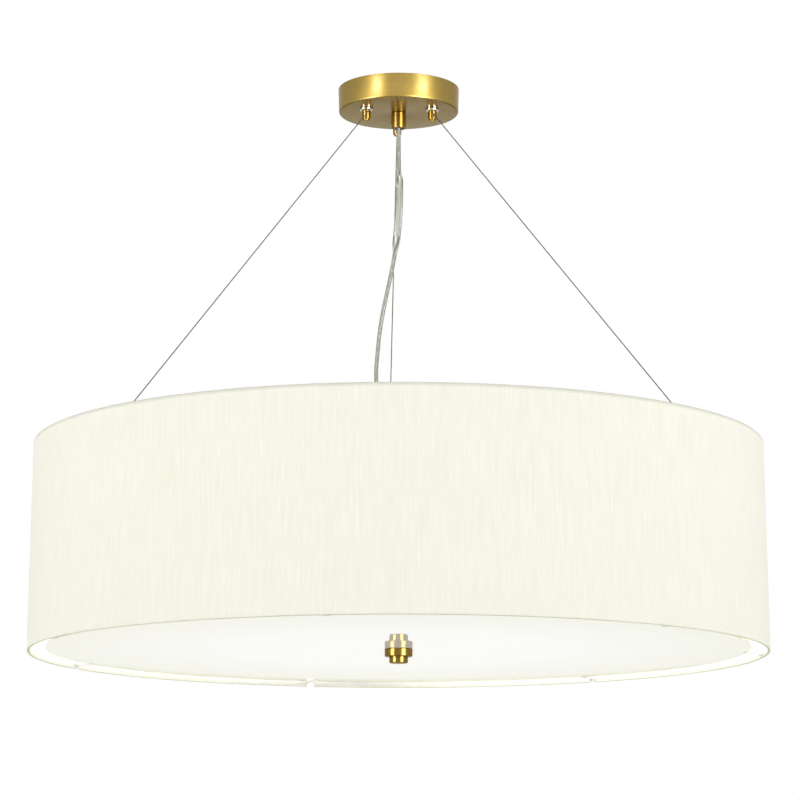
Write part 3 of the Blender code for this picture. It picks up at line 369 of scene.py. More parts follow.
def sheet_steel_finish(name, colour):
    """Zinc plated sheet steel: spangle, rolling lines and a dull bloom."""
    steel = Finish(name, colour, 0.4, 1.0)
    place = steel.place()
    x, y, z = steel.split(place)
    rolled = steel.drawn(x * 30.0, y * 1500.0, 3.0, 0.6, z * 1500.0)
    grey = steel.split(steel.cells(place, 420.0, "Color"))[0]
    return steel.set(Base_Color=steel.layered(tint(colour, 0.92), (grey * 0.5, tint(colour, 1.10))),
                     Roughness=0.30 + rolled * 0.16 + grey * 0.08, Normal=steel.bump(rolled, 0.00003, 0.4))


def enamel_finish(name, colour):
    """White powder coat: orange peel and a slight colour drift."""
    enamel = Finish(name, colour, 0.42)
    place = enamel.place()
    drift = enamel.noise(place, 22.0, 4.0, 0.55)
    body = enamel.layered(tint(colour, 0.965, 0.96, 0.945), (drift.band(0.30, 0.72), tint(colour, 1.03)))
    return enamel.set(Base_Color=body, Roughness=0.36 + drift * 0.14,
                      Normal=enamel.bump(enamel.noise(place, 950.0, 2.0), 0.00008, 0.5))


def plastic_finish(name, colour, roughness=0.45):
    """Moulded plastic: fine spark-eroded grain, faint flow marks."""
    plastic = Finish(name, colour, roughness)
    place = plastic.place()
    fine = plastic.noise(place, 1500.0, 2.0, 0.6)
    flow = plastic.noise(place, 60.0)
    return plastic.set(
        Base_Color=plastic.layered(tint(colour, 0.96), (flow.band(0.35, 0.7), tint(colour, 1.03))),
        Roughness=roughness * 0.9 + fine * roughness * 0.26, Normal=plastic.bump(fine, 0.00004, 0.4))


def lining_finish(name, colour):
    """Laminated styrene: satin film over the cloth, whose slubs press through."""
    film = Finish(name, colour, 0.5)
    across, along = film.unrolled()
    slubs = film.drawn(across * 240.0, along * 18.0, 3.0, 0.6)
    cloudy = film.drawn(across * 9.0, along * 9.0, 3.0, 0.5)
    body = film.layered(tint(colour, 0.97, 0.965, 0.93),
                        (slubs.band(0.3, 0.75) * 0.6 + cloudy * 0.3, tint(colour, 1.03)))
    return film.set(Base_Color=body, Roughness=0.42 + slubs * 0.14, Normal=film.bump(slubs, 0.00010, 0.4))


def opal_finish(name, colour):
    """Glossy opal acrylic: milk white, a long soft ripple and a little dust; painted shade and reflection
    make it creamier towards the rim.
    """
    opal = Finish(name, colour, 0.02, IOR=1.49, Coat_Weight=0.25, Coat_Roughness=0.02)
    place = opal.place()
    x, y, _ = opal.split(place)
    milk = opal.noise(place, 5.0)
    body = opal.layered(
        tint(colour, 0.992, 0.992, 0.985),
        (milk.band(0.30, 0.70), tint(colour, 1.012)),
        # painted shade and reflection: creamier and darker towards the rim
        (((x * x + y * y) ** 0.5).band(0.20, 0.43), tint(colour, 0.87, 0.87, 0.66)),
        (opal.cells(place, 260.0).under(0.035) * 0.4, tint(colour, 0.86)))
    return opal.set(Base_Color=body, Roughness=0.01 + milk * 0.03,
                    Normal=opal.bump(opal.noise(place, 14.0, 1.0, 0.3), 0.00004, 0.2))


def glass_finish(name, colour):
    """Opal bulb glass: inside coating, greyer towards the cap."""
    glass = Finish(name, colour, 0.16, Coat_Weight=0.6, Coat_Roughness=0.05)
    along = glass.unrolled()[1]
    powder = glass.noise(glass.place(), 700.0, 3.0, 0.6)
    body = glass.layered(colour, ((along * 14.0).band(0.62, 1.35) * 0.5, tint(colour, 0.84)),
                         (powder.band(0.4, 0.8) * 0.15, tint(colour, 0.94)))
    return glass.set(Base_Color=body, Roughness=0.14 + powder * 0.05)


def wire_finish(name, colour):
    """Dull steel strands, with painted shade darkening the grooves between them."""
    wire = Finish(name, colour, 0.5, 1.0)
    around, along = wire.unrolled()
    # 1 on the strands' crowns, 0 in the grooves: painted shade keeps the grooves darker
    groove = (around * (TAU * 6)).cosine().band(-1.0, 0.2)
    return wire.set(Base_Color=wire.layered(tint(colour, 0.80), (groove, tint(colour, 1.1))),
                    Roughness=0.46 + wire.drawn(around * 40.0, along * 300.0, 2.0, 0.5) * 0.16)


def cable_finish(name, colour):
    """Clear sheath over three pale cores: bright cores, dark olive lines of painted shade between them,
    milky edges.
    """
    cable = Finish(name, colour, 0.22, Coat_Weight=0.3, Coat_Roughness=0.16)
    around, along = cable.unrolled()
    side = (around * TAU).cosine()
    core = (side * 4.9).cosine()
    streaks = cable.drawn(side * 5.5, along * 30.0, 3.0, 0.6)
    lay = (along * 520.0 + side * 9.0).sine()
    body = cable.layered(
        tint(colour, 0.62),
        (core.band(-0.2, 0.9), tint(colour, 1.42, 1.42, 1.36)),
        # painted shade: dark olive lines in the grooves between the cores
        (core.band(-0.35, -0.95), (0.085, 0.085, 0.045)),
        (streaks.band(0.42, 0.66) * 0.55, (0.20, 0.20, 0.15)),
        (lay.band(0.2, 1.0) * 0.12, (0.75, 0.75, 0.72)))
    return cable.set(Base_Color=body, Roughness=0.20 + streaks * 0.12,
                     Normal=cable.bump(core * 0.5 + streaks * 0.3, 0.00012, 0.5))


# For each finish its slot in the record, its maker, its colour or that colour's property, and the rest
FINISHES = {
    "cream_cloth": ("cream_fabric", cloth_finish, "cloth"),
    "satin_brass": ("brass", brass_finish, "brass", 0.36, 2600.0, 0.0318),
    "polished_brass": ("brass", polished_finish, "brass"),
    "olive_rivet": ("brass", plated_finish, (0.20, 0.20, 0.10), 0.4),
    "bright_chrome": ("chrome", plated_finish, "chrome", 0.12),
    "zinc_turned": ("steel", plated_finish, "steel", 0.34),
    "zinc_sheet": ("steel", sheet_steel_finish, "steel"),
    "nickel_cap": ("steel", plated_finish, (0.62, 0.60, 0.55), 0.28),
    "wire_strand": ("wire_steel", wire_finish, (0.07, 0.0695, 0.063)),
    "powder_coat": ("white_enamel", enamel_finish, "enamel"),
    "white_moulding": ("white_plastic", plastic_finish, (0.84, 0.84, 0.81)),
    "clip_moulding": ("white_plastic", plastic_finish, (0.97, 0.97, 0.955), 0.12),
    "grey_moulding": ("grey_plastic", plastic_finish, (0.16, 0.16, 0.15), 0.5),
    "styrene_lining": ("styrene", lining_finish, (0.955, 0.955, 0.94)),
    "polished_opal": ("opal_acrylic", opal_finish, "opal"),
    "opal_bulb": ("opal_glass", glass_finish, (0.90, 0.90, 0.87)),
    "clear_cable": ("clear_sheath", cable_finish, "sheath"),
}


def sizes():
    return bpy.context.scene.pendant_sizes


def painted(piece, finish):
    """Gives a piece its finish, made the first time it is asked for."""
    slot, make, colour, *values = FINISHES[finish]
    if isinstance(colour, str):
        colour = tuple(getattr(bpy.context.scene.pendant_colours, colour))
    material = bpy.data.materials.get(finish) or make(finish, colour, *values).material
    piece.data.materials.clear()
    piece.data.materials.append(material)
    return piece


def dressed(node, finish):
    """Gives a kept node of the frame its finish."""
    return painted(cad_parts[node], finish)


def finished(piece, finish, body, *nodes):
    """Gives a piece its finish, hides the nodes it stands for and hangs it on a body."""
    painted(piece, finish)
    if nodes:
        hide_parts(*nodes)
    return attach(piece, body)


def smoothed(mesh, sharp_angle=38.0):
    """Shades a mesh smooth, but for its edges over an angle."""
    mesh.shade_smooth()
    mesh.set_sharp_from_angle(angle=math.radians(sharp_angle))


def weld(mesh, sharp_angle, close_ends):
    """Closes seams and poles, fills the open ends of a cut strip with one flat face each where asked, and
    turns the faces outwards."""
    work = bmesh.new()
    work.from_mesh(mesh)
    bmesh.ops.remove_doubles(work, verts=work.verts, dist=2e-7)
    bmesh.ops.dissolve_degenerate(work, edges=work.edges, dist=1e-8)
    if close_ends:
        bmesh.ops.holes_fill(work, edges=[edge for edge in work.edges if edge.is_boundary], sides=0)
    bmesh.ops.recalc_face_normals(work, faces=work.faces)
    work.to_mesh(mesh)
    work.free()
    smoothed(mesh, sharp_angle)


def surface(name, points, uv, wrap_rows=False, wrap_columns=False, sharp_angle=38.0, close_ends=False):
    """A mesh object from a grid of points; uv has one more row or column where that way wraps."""
    rows, columns = points.shape[:2]
    i, j = np.meshgrid(np.arange(rows if wrap_rows else rows - 1),
                       np.arange(columns if wrap_columns else columns - 1), indexing="ij")
    corners = [(i + a, j + b) for a, b in ((0, 0), (0, 1), (1, 1), (1, 0))]
    quads = np.stack([(a % rows) * columns + b % columns for a, b in corners], axis=-1).reshape(-1, 4)
    loops_uv = np.stack([uv[a, b] for a, b in corners], axis=-2).reshape(-1, 2)
    mesh = bpy.data.meshes.new(name)
    mesh.vertices.add(rows * columns)
    mesh.vertices.foreach_set("co", np.ascontiguousarray(points, dtype=np.float32).reshape(-1))
    mesh.loops.add(quads.size)
    mesh.loops.foreach_set("vertex_index", quads.reshape(-1).astype(np.int32))
    mesh.polygons.add(len(quads))
    mesh.polygons.foreach_set("loop_start", np.arange(0, quads.size, 4, dtype=np.int32))
    mesh.update(calc_edges=True)
    mesh.uv_layers.new(name="UVMap").uv.foreach_set("vector", loops_uv.astype(np.float32).reshape(-1))
    weld(mesh, sharp_angle, close_ends)
    piece = bpy.data.objects.new(name, mesh)
    bpy.context.scene.collection.objects.link(piece)
    return piece


def lengths(line):
    """The distance along a line at each of its points."""
    return np.concatenate([[0.0], np.cumsum(np.linalg.norm(np.diff(line, axis=0), axis=1))])


def rounded(corners, steps=4, closed=False):
    """A profile from (x, y, rounding): each corner becomes an arc that touches both of its sides."""
    points = np.array([c[:2] for c in corners], float)
    line = []
    for k, corner in enumerate(corners):
        here, size = points[k], corner[2] if len(corner) > 2 else 0.0
        if size == 0 or (not closed and k in (0, len(corners) - 1)):
            line.append(here)
            continue
        back, ahead = points[k - 1] - here, points[(k + 1) % len(points)] - here
        room = 0.49 * min(np.linalg.norm(back), np.linalg.norm(ahead))
        back, ahead = back / np.linalg.norm(back), ahead / np.linalg.norm(ahead)
        half = 0.5 * math.acos(float(np.clip(back @ ahead, -0.9999, 0.9999)))
        reach = min(size / math.tan(half), room)
        radius = reach * math.tan(half)
        centre = here + (back + ahead) / np.linalg.norm(back + ahead) * radius / math.sin(half)
        first, last, angle = here + back * reach - centre, here + ahead * reach - centre, math.pi - 2 * half
        t = np.linspace(0, 1, steps + 1)[:, None]
        line.extend(centre + (np.sin((1 - t) * angle) * first + np.sin(t * angle) * last) / math.sin(angle))
    return np.array(line)


def all_round(columns):
    """The angles of a ring's points."""
    return np.arange(columns) * TAU / columns


def ringed(r, z, angle):
    """Points (r cos a, r sin a, z)."""
    return np.stack(np.broadcast_arrays(r * np.cos(angle), r * np.sin(angle), z), axis=-1)


def uv_grid(around, along):
    """UV of a grid: a distance round it for each column and one along it for each row."""
    return np.stack(np.broadcast_arrays(around[None, :], along[:, None]), axis=-1)


def moved(points, place):
    """Points carried to a place, a 4 x 4 matrix."""
    return points if place is None else points @ place[:3, :3].T + place[:3, 3]


def turned(name, columns, profile, closed=False, place=None, sharp_angle=38.0):
    """A turned form: point = (r cos a, r sin a, z), with (r, z) along the profile and a all round."""
    profile = np.asarray(profile, float)
    points = ringed(profile[:, :1], profile[:, 1:], all_round(columns))
    line = np.vstack([profile, profile[:1]]) if closed else profile
    around = np.linspace(0, 1, columns + 1) * TAU * profile[:, 0].max()
    return surface(name, moved(points, place), uv_grid(around, lengths(line)), closed, True, sharp_angle)


def screwed(name, low, high, bore=0.0):
    """A threaded rod: r = radius - depth (1 - cos(2 pi z / pitch - a)) / 2, closed at both ends."""
    radius, depth, pitch, angle = 0.0049, 0.0005, sizes().thread_pitch, all_round(20)
    z = np.linspace(high, low, max(8, round((high - low) / pitch * 6)) + 1)[:, None]
    wave = 0.5 * (1 - np.cos(TAU * z / pitch - angle))
    ends = np.clip(np.minimum(high - z, z - low) / pitch, 0, 1)
    inner = np.full((1, len(angle)), bore)
    r = np.vstack([inner, radius - depth * (wave * ends + (1 - ends)), inner])
    z = np.vstack([z[:1], z, z[-1:]])
    uv = uv_grid(np.linspace(0, 1, len(angle) + 1) * TAU * radius, np.append(z[:, 0], z[0, 0]))
    return surface(name, ringed(r, z, angle), uv, bore > 0, True, 60.0)


def nut(name, flats, height, bore, place):
    """A hexagon nut: side r = (flats / 2) / cos(a mod 60 - 30), its faces cut to a circle by a chamfer."""
    angle = all_round(72)
    side = flats / 2 / np.cos(np.mod(angle, TAU / 6) - TAU / 12)
    cap = 0.475 * flats
    drop = (side - cap) * 0.55
    levels = ((bore, 0.0), (cap, 0.0), (side, drop), (side, height - drop), (cap, height), (bore, height))
    r, z = (np.stack([np.broadcast_to(level[i], angle.shape) for level in levels]) for i in (0, 1))
    uv = uv_grid(np.linspace(0, 1, len(angle) + 1) * math.pi * flats,
                  np.cumsum([0, flats / 4, 0.001, height, 0.001, flats / 4, height]))
    return surface(name, moved(ringed(r, z, angle), place), uv, True, True, 25.0)


def directions(path, reference):
    """Two unit directions across a path at each point: the reference made square to it, and the third."""
    ahead = np.gradient(path, axis=0)
    ahead /= np.linalg.norm(ahead, axis=1)[:, None]
    side = reference - (ahead @ reference)[:, None] * ahead
    side /= np.linalg.norm(side, axis=1)[:, None]
    return side, np.cross(ahead, side)


def swept(name, path, reference, section, twist=0.0, sharp_angle=38.0):
    """A section carried along a path and closed at its ends: point = path + a side + b up, with (a, b)
    turned by the twist, and side the reference made square to the path."""
    side, up = directions(path, reference)
    twist = np.broadcast_to(twist, len(path))[:, None]
    c, s = np.cos(twist), np.sin(twist)
    a, b = section.T
    a, b = a * c - b * s, a * s + b * c
    points = path[:, None] + a[..., None] * side[:, None] + b[..., None] * up[:, None]
    first, last = (np.broadcast_to(end, (1, len(section), 3)) for end in (path[0], path[-1]))
    along = lengths(path)
    along = np.concatenate([along[:1], along, along[-1:]])
    return surface(name, np.concatenate([first, points, last]),
                   uv_grid(np.linspace(0, 1, len(section) + 1), along), False, True, sharp_angle)


def smooth_route(knots, spacing):
    """Points on the smooth curve through the knots: cubic pieces whose slope at a knot is half the
    step between its neighbours, p = (2b + (c-a)t + (2a-5b+4c-d)t^2 + (3b-a-3c+d)t^3) / 2."""
    knots = np.array(knots, float)
    padded = np.vstack([2 * knots[0] - knots[1], knots, 2 * knots[-1] - knots[-2]])
    pieces = []
    for a, b, c, d in zip(padded, padded[1:], padded[2:], padded[3:]):
        t = np.linspace(0, 1, max(2, int(np.linalg.norm(c - b) / spacing)), endpoint=False)[:, None]
        pieces.append(0.5 * (2 * b + (c - a) * t + (2 * a - 5 * b + 4 * c - d) * t ** 2
                             + (3 * b - a - 3 * c + d) * t ** 3))
    return np.vstack(pieces + [knots[-1:]])


def outward(azimuth):
    """The level direction of an azimuth, from the near side (-Y) towards +X."""
    angle = math.radians(azimuth)
    return np.array((math.sin(angle), -math.cos(angle), 0.0))


def upright(outline, out):
    """An outline of distances outwards and heights, stood up in space."""
    return outline[:, :1] * out + outline[:, 1:] * UP


def placed(x, y, z, origin):
    """A place from its three directions and its origin."""
    place = np.eye(4)
    place[:3] = np.stack([x, y, z, origin], axis=1)
    return place


def raised(height, x=0.0, y=0.0):
    """An unturned place."""
    return placed(*np.eye(3), (x, y, height))


def standing(azimuth, radius, height, facing=None):
    """A place at an azimuth, radius and height, with local X outwards and local Z up."""
    out = outward(azimuth if facing is None else facing)
    return placed(out, np.cross(UP, out), UP, outward(azimuth) * radius + UP * height)


def lying(azimuth, radius, height):
    """A place whose local Z points outwards at the azimuth, with local X down."""
    out = outward(azimuth)
    return placed(-UP, np.cross(out, -UP), out, out * radius + UP * height)


def drilled(piece, place, radius, start, stop, height, columns):
    """Takes a level hole out of a piece for good, from one distance along its X to another."""
    level = place @ placed(-UP, (0, 1, 0), (1, 0, 0), UP * height)
    rod = [(0.0, stop), (radius, stop), (radius, start), (0.0, start)]
    drill = turned("drill", columns, rod, False, level)
    step = piece.modifiers.new("carve", "BOOLEAN")
    step.operation, step.solver, step.object = "DIFFERENCE", "EXACT", drill
    bpy.context.view_layer.update()
    name = piece.data.name
    carved = bpy.data.meshes.new_from_object(piece.evaluated_get(bpy.context.evaluated_depsgraph_get()))
    piece.data = carved
    piece.modifiers.clear()
    carved.name = name
    bpy.data.objects.remove(drill, do_unlink=True)
    smoothed(carved)
    return piece


class PENDANT_OT_stage(bpy.types.Operator):
    """Sets the camera, the pale floor, the white surroundings and the soft studio lamps"""

    bl_idname = "pendant.stage"
    bl_label = "Stage"

    def execute(self, context):
        scene = context.scene
        scene.view_settings.view_transform = "Standard"
        camera = bpy.data.cameras.new("camera")
        camera.sensor_width, camera.lens, camera.clip_end = 36.0, 133.965, 100.0
        scene.camera = bpy.data.objects.new("camera", camera)
        scene.camera.location = (0.0017, -3.663, -1.083)
        scene.camera.rotation_euler = (math.radians(90 + 10.52), 0.0, 0.0)
        scene.collection.objects.link(scene.camera)
        self.floor()
        self.surroundings(scene)
        for row in LAMPS:
            self.lamp(scene, *row)
        inside = bpy.data.lights.new("inner_fill", "POINT")
        inside.energy, inside.shadow_soft_size = 4.0, 0.03
        glow = bpy.data.objects.new("inner_fill", inside)
        glow.location, glow.visible_camera, glow.visible_glossy = (0.02, 0.03, -0.535), False, False
        scene.collection.objects.link(glow)
        return {"FINISHED"}

    def floor(self):
        ends = np.array((-FLOOR_REACH, FLOOR_REACH))
        grid = np.stack(np.meshgrid(ends, ends, indexing="ij"), axis=-1)
        floor = surface("floor", np.concatenate([grid, np.full((2, 2, 1), FLOOR_HEIGHT)], axis=-1), grid)
        pale = (0.86, 0.86, 0.85)
        plain = Finish("pale_floor", pale, 0.6)
        mottle = plain.noise(plain.place(), 1.6).band(0.3, 0.7)
        plain.set(Base_Color=plain.layered(pale, (mottle, (0.89, 0.89, 0.88))))
        floor.data.materials.append(plain.material)

    def surroundings(self, scene):
        """A world that is white to the camera, in gloss and through glass, and dimmer as a light."""
        world = bpy.data.worlds.new("studio")
        world.use_nodes = True
        world.node_tree.nodes.clear()
        scene.world = world
        studio = Nodes(world.node_tree)
        camera, glossy, through = (studio.node("ShaderNodeLightPath", {}, f"Is {kind} Ray")
                                   for kind in ("Camera", "Glossy", "Transmission"))
        seen = studio.node("ShaderNodeBackground", {"Color": (1, 1, 1, 1), "Strength": 1.0})
        lit = studio.node("ShaderNodeBackground", {"Color": (1.0, 0.995, 0.985, 1), "Strength": 0.55})
        white = camera.larger(glossy).larger(through)
        mix = studio.node("ShaderNodeMixShader", {0: white, 1: lit, 2: seen})
        studio.node("ShaderNodeOutputWorld", {"Surface": mix}, None)

    def lamp(self, scene, name, azimuth, height, size, power, distance, mirrored):
        """A soft box: a mirrored one shows in glossy surfaces alone, any other lights all but those."""
        light = bpy.data.lights.new(name, "AREA")
        light.shape, light.energy = "RECTANGLE", power
        light.size, light.size_y = size
        lamp = bpy.data.objects.new(name, light)
        lamp.location = outward(azimuth) * distance + UP * height
        aim = math.atan2(height - LAMP_AIM, distance)
        lamp.rotation_euler = (math.radians(90) - aim, 0.0, math.radians(azimuth))
        lamp.visible_camera, lamp.visible_glossy, lamp.visible_diffuse = False, mirrored, not mirrored
        scene.collection.objects.link(lamp)


class PENDANT_OT_cords(bpy.types.Operator):
    """Makes the flat clear power cable and the three stranded suspension wires"""

    bl_idname = "pendant.cords"
    bl_label = "Cable and wires"

    def execute(self, context):
        self.cable()
        for row in zip(THREE, WIRE_AZIMUTHS, BARREL_AZIMUTHS):
            self.wire(*row)
        return {"FINISHED"}

    def cable(self):
        """Section: a rounded flat (w cos t, h sin t) with a shallow groove between its three cores. It
        turns a quarter twice on its way down."""
        s = sizes()
        path = smooth_route(CABLE_ROUTE, 0.0011)
        t, power = all_round(48), 0.72
        a = 0.5 * s.cable_width * np.sign(np.cos(t)) * np.abs(np.cos(t)) ** power
        b = 0.5 * s.cable_thickness * np.sign(np.sin(t)) * np.abs(np.sin(t)) ** power
        b *= 0.94 + 0.06 * np.cos(4.9 * np.cos(t))
        twist = math.pi / 2
        for high, low in ((-0.100, -0.130), (-0.188, -0.226)):
            share = np.clip((high - path[:, 2]) / (high - low), 0, 1)
            twist = twist + math.pi / 2 * (0.5 - 0.5 * np.cos(math.pi * share))
        section = np.stack([a, b], axis=-1)
        cable = swept("power_cable_dressed", path, np.array((1.0, 0.0, 0.0)), section, twist, 60.0)
        finished(cable, "clear_cable", "ceiling_plate", "power_cable")
        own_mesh(cable)

    def wire(self, k, azimuth, facing):
        """Six strands round the wire: r = 2R/3 cos p + sqrt((R/3)^2 - (2R/3 sin p)^2), p from a strand's
        middle, the whole section turned once per lay."""
        s = sizes()
        start = (outward(azimuth) * GRIPPER_CIRCLE + outward(facing) * 0.0048
                 + UP * (CANOPY_FOOT + BARREL_HOLE))
        end = outward(azimuth) * (ANCHOR_CIRCLE - 0.0034) + UP * (SPIDER_TOP + 0.0070)
        long = np.linalg.norm(end - start)
        path = start + np.linspace(0, 1, int(long / 0.0011))[:, None] * (end - start)
        t = all_round(24)
        p = np.mod(t + TAU / 12, TAU / 6) - TAU / 12
        third = s.wire_diameter / 6
        r = 2 * third * np.cos(p) + np.sqrt(np.maximum(third ** 2 - (2 * third * np.sin(p)) ** 2, 0))
        section = np.stack([r * np.cos(t), r * np.sin(t)], axis=-1)
        twist = lengths(path) * TAU / s.wire_lay
        wire = swept(f"suspension_wire_{k}_dressed", path, UP, section, twist, 70.0)
        finished(wire, "wire_strand", "ceiling_plate", f"suspension_wire_{k}")
        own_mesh(wire)


class PENDANT_OT_ceiling_plate(bpy.types.Operator):
    """Makes the spun brass ceiling plate and finishes its screws"""

    bl_idname = "pendant.ceiling_plate"
    bl_label = "Ceiling plate"

    def execute(self, context):
        cup = turned("ceiling_cup", 192, rounded([
            (0.0758, CANOPY_TOP, 0.0003), (0.0768, CANOPY_TOP, 0.0003), (0.0759, CANOPY_FOOT, 0.0022),
            (BORE, CANOPY_FOOT, 0.0002), (BORE, CANOPY_FLOOR, 0.0002), (0.0749, CANOPY_FLOOR, 0.0012)],
            6, True), True)
        finished(cup, "satin_brass", "ceiling_plate", "canopy_cup")
        for side in ("left", "right"):
            dressed(f"canopy_screw_{side}", "polished_brass")
        return {"FINISHED"}


class PENDANT_OT_bracket(bpy.types.Operator):
    """Finishes the steel strap, the terminal block and the lead inside the ceiling plate"""

    bl_idname = "pendant.bracket"
    bl_label = "Bracket and terminal block"

    def execute(self, context):
        dressed("ceiling_bracket", "zinc_sheet")
        dressed("terminal_block", "white_moulding")
        dressed("inner_lead", "clear_cable")
        head = BRACKET_FOOT - FIT - 0.012 + 0.0012
        profile = rounded([(0.0, -0.0010), (0.0014, -0.0010, 0.0002), (0.0014, 0.0018, 0.0002),
                           (0.0, 0.0018)], 3)
        for k in THREE:
            place = raised(head, (k - 2) * 0.009, -0.0062)
            screw = turned(f"terminal_screw_{k}", 24, profile, False, place)
            finished(screw, "zinc_turned", "ceiling_plate")
        return {"FINISHED"}


class PENDANT_OT_gland(bpy.types.Operator):
    """Makes the brass gland tube, its plastic insert and its nut"""

    bl_idname = "pendant.gland"
    bl_label = "Cable gland"

    def execute(self, context):
        mouth, shoulder, neck_top = GLAND_MOUTH, CANOPY_FOOT - FIT, CANOPY_FLOOR + 0.0055
        body = turned("gland_tube", 96, rounded([
            (0.0035, neck_top, 0.0002), (0.0049, neck_top, 0.0004), (0.0049, shoulder),
            (0.00925, shoulder, 0.0003), (0.00925, mouth, 0.0006), (0.0070, mouth, 0.0003),
            (0.0070, mouth + 0.010), (0.0035, mouth + 0.010)], 4, True), True)
        finished(body, "polished_brass", "ceiling_plate", "gland_body")
        top, foot = mouth + 0.0097, mouth + 0.0006
        insert = turned("gland_plug", 64, rounded([
            (0.0, top), (0.0067, top, 0.0003), (0.0067, foot, 0.0005), (0.0058, foot, 0.0002),
            (0.0055, foot + 0.0008, 0.0002), (0.0, foot + 0.0008)]))
        finished(insert, "grey_moulding", "ceiling_plate", "gland_insert")
        finished(nut("gland_nut_dressed", 0.014, 0.003, BORE, raised(CANOPY_FLOOR + FIT)), "zinc_turned",
                 "ceiling_plate", "gland_nut")
        return {"FINISHED"}


class PENDANT_OT_grippers(bpy.types.Operator):
    """Makes the three wire grippers: bright seat, drilled brass barrel and sprung plunger"""

    bl_idname = "pendant.grippers"
    bl_label = "Wire grippers"

    def execute(self, context):
        top, base, hole, foot = BARREL_TOP, BARREL_FOOT, BARREL_HOLE, SEAT_FOOT
        seat = rounded([
            (0.0012, 0.0068, 0.0001), (0.0029, 0.0068, 0.0003), (0.0029, 0.0037), (0.0029, -FIT),
            (0.0083, -FIT, 0.0002), (0.0083, -0.0025, 0.0003), (0.0072, -0.0032, 0.0020),
            (0.0057, foot, 0.0003), (0.0020, foot), (0.0020, foot - 0.0010, 0.0001),
            (0.0012, foot - 0.0010)], 4, True)
        barrel = rounded([
            (0.0, hole - 0.00095), (0.0023, hole - 0.00095), (0.0023, top, 0.0001),
            (0.0054, top, 0.0005), (0.0054, base + 0.0026), (0.0052, base + 0.0024, 0.0001),
            (0.0052, base + 0.0020, 0.0001), (0.0054, base + 0.0018), (0.0054, base, 0.0006),
            (0.0041, base, 0.0002), (0.0041, base + 0.0012), (0.00475, base + 0.0012),
            (0.00475, base + 0.0045), (0.0, base + 0.0045)])
        plunger = rounded([
            (0.0, base + 0.0027), (0.0044, base + 0.0027, 0.0001), (0.0044, base + 0.0015, 0.0001),
            (0.0038, base + 0.0015), (0.0038, base - 0.0020, 0.0007), (0.0016, base - 0.0020, 0.0004),
            (0.0010, base - 0.0010, 0.0002), (0.0, base - 0.0010)])
        for k, azimuth, facing in zip(THREE, WIRE_AZIMUTHS, BARREL_AZIMUTHS):
            place = standing(azimuth, GRIPPER_CIRCLE, CANOPY_FOOT, facing)
            piece = turned(f"gripper_seat_{k}_dressed", 64, seat, True, place)
            finished(piece, "bright_chrome", "ceiling_plate", f"gripper_seat_{k}")
            above = standing(azimuth, GRIPPER_CIRCLE, CANOPY_FLOOR + FIT, facing)
            piece = nut(f"gripper_nut_{k}", 0.0090, 0.0024, 0.0030, above)
            finished(piece, "zinc_turned", "ceiling_plate")
            piece = turned(f"gripper_barrel_{k}_dressed", 64, barrel, False, place)
            drilled(piece, place, 0.00095, 0.0010, 0.0090, hole, 24)
            finished(piece, "polished_brass", "ceiling_plate", f"gripper_barrel_{k}")
            piece = turned(f"gripper_plunger_{k}_dressed", 48, plunger, False, place)
            finished(piece, "polished_brass", f"plunger_{k}", f"gripper_plunger_{k}")
        return {"FINISHED"}


class PENDANT_OT_drum(bpy.types.Operator):
    """Makes the drum's cloth with its rolled hems, the lining and the two ring wires"""

    bl_idname = "pendant.drum"
    bl_label = "Drum"

    def execute(self, context):
        steps = sizes().round_steps
        self.cloth(steps)
        high, low = SHADE_TOP - HEM, SHADE_FOOT + HEM
        top, foot = SHADE_TOP_RADIUS - CLOTH - FIT, SHADE_FOOT_RADIUS - CLOTH - FIT
        lining = turned("drum_lining", steps, [(top, high), (foot, low), (foot - LINING, low),
                                               (top - LINING, high)], True)
        finished(lining, "styrene_lining", "drum", "shade_lining")
        t = all_round(12)
        for name, edge, height in (("top_ring", SHADE_TOP_RADIUS, high),
                                   ("bottom_ring", SHADE_FOOT_RADIUS, low)):
            radius = edge - HEM - 0.00035
            section = np.stack([radius + RING * np.cos(t), height - RING * np.sin(t)], axis=-1)
            finished(turned(f"{name}_dressed", steps, section, True), "powder_coat", "drum", name)
        return {"FINISHED"}

    def cloth(self, steps):
        """The wall is straight from hem to hem. Each hem is half a circle round its ring, its middle
        HEM inside the edge, and the bottom one turns up 1.5 mm behind the ring. Outer and inner face
        keep the cloth's thickness apart, and the wall sinks 0.1 mm where the cloth leaves a ring."""
        high, low = SHADE_TOP - HEM, SHADE_FOOT + HEM
        tuck, back = low + 0.0015, SHADE_FOOT_RADIUS - 2 * HEM
        t = np.linspace(0, math.pi, 13)
        z = high + (low - high) * (0.5 - 0.5 * np.cos(np.linspace(0, math.pi, 42)[1:-1]))
        sink = 0.0001 * (1 - np.exp(-np.minimum(high - z, z - low) / 0.004))
        flare = (SHADE_FOOT_RADIUS - SHADE_TOP_RADIUS) * (high - z) / (high - low)

        def hem(edge_radius, height, way, radius):
            return (edge_radius - HEM, height) + radius * np.stack([np.cos(t), way * np.sin(t)], axis=-1)

        def face(inset):
            wall = np.stack([SHADE_TOP_RADIUS + flare - inset - sink, z], axis=-1)
            return np.vstack([hem(SHADE_TOP_RADIUS, high, 1, HEM - inset)[::-1], wall,
                              hem(SHADE_FOOT_RADIUS, low, -1, HEM - inset), [(back + inset, tuck)]])

        profile = np.vstack([face(0.0), face(CLOTH)[::-1]])
        cloth = turned("drum_cloth", steps, profile, True, sharp_angle=60.0)
        finished(cloth, "cream_cloth", "drum", "shade_fabric")


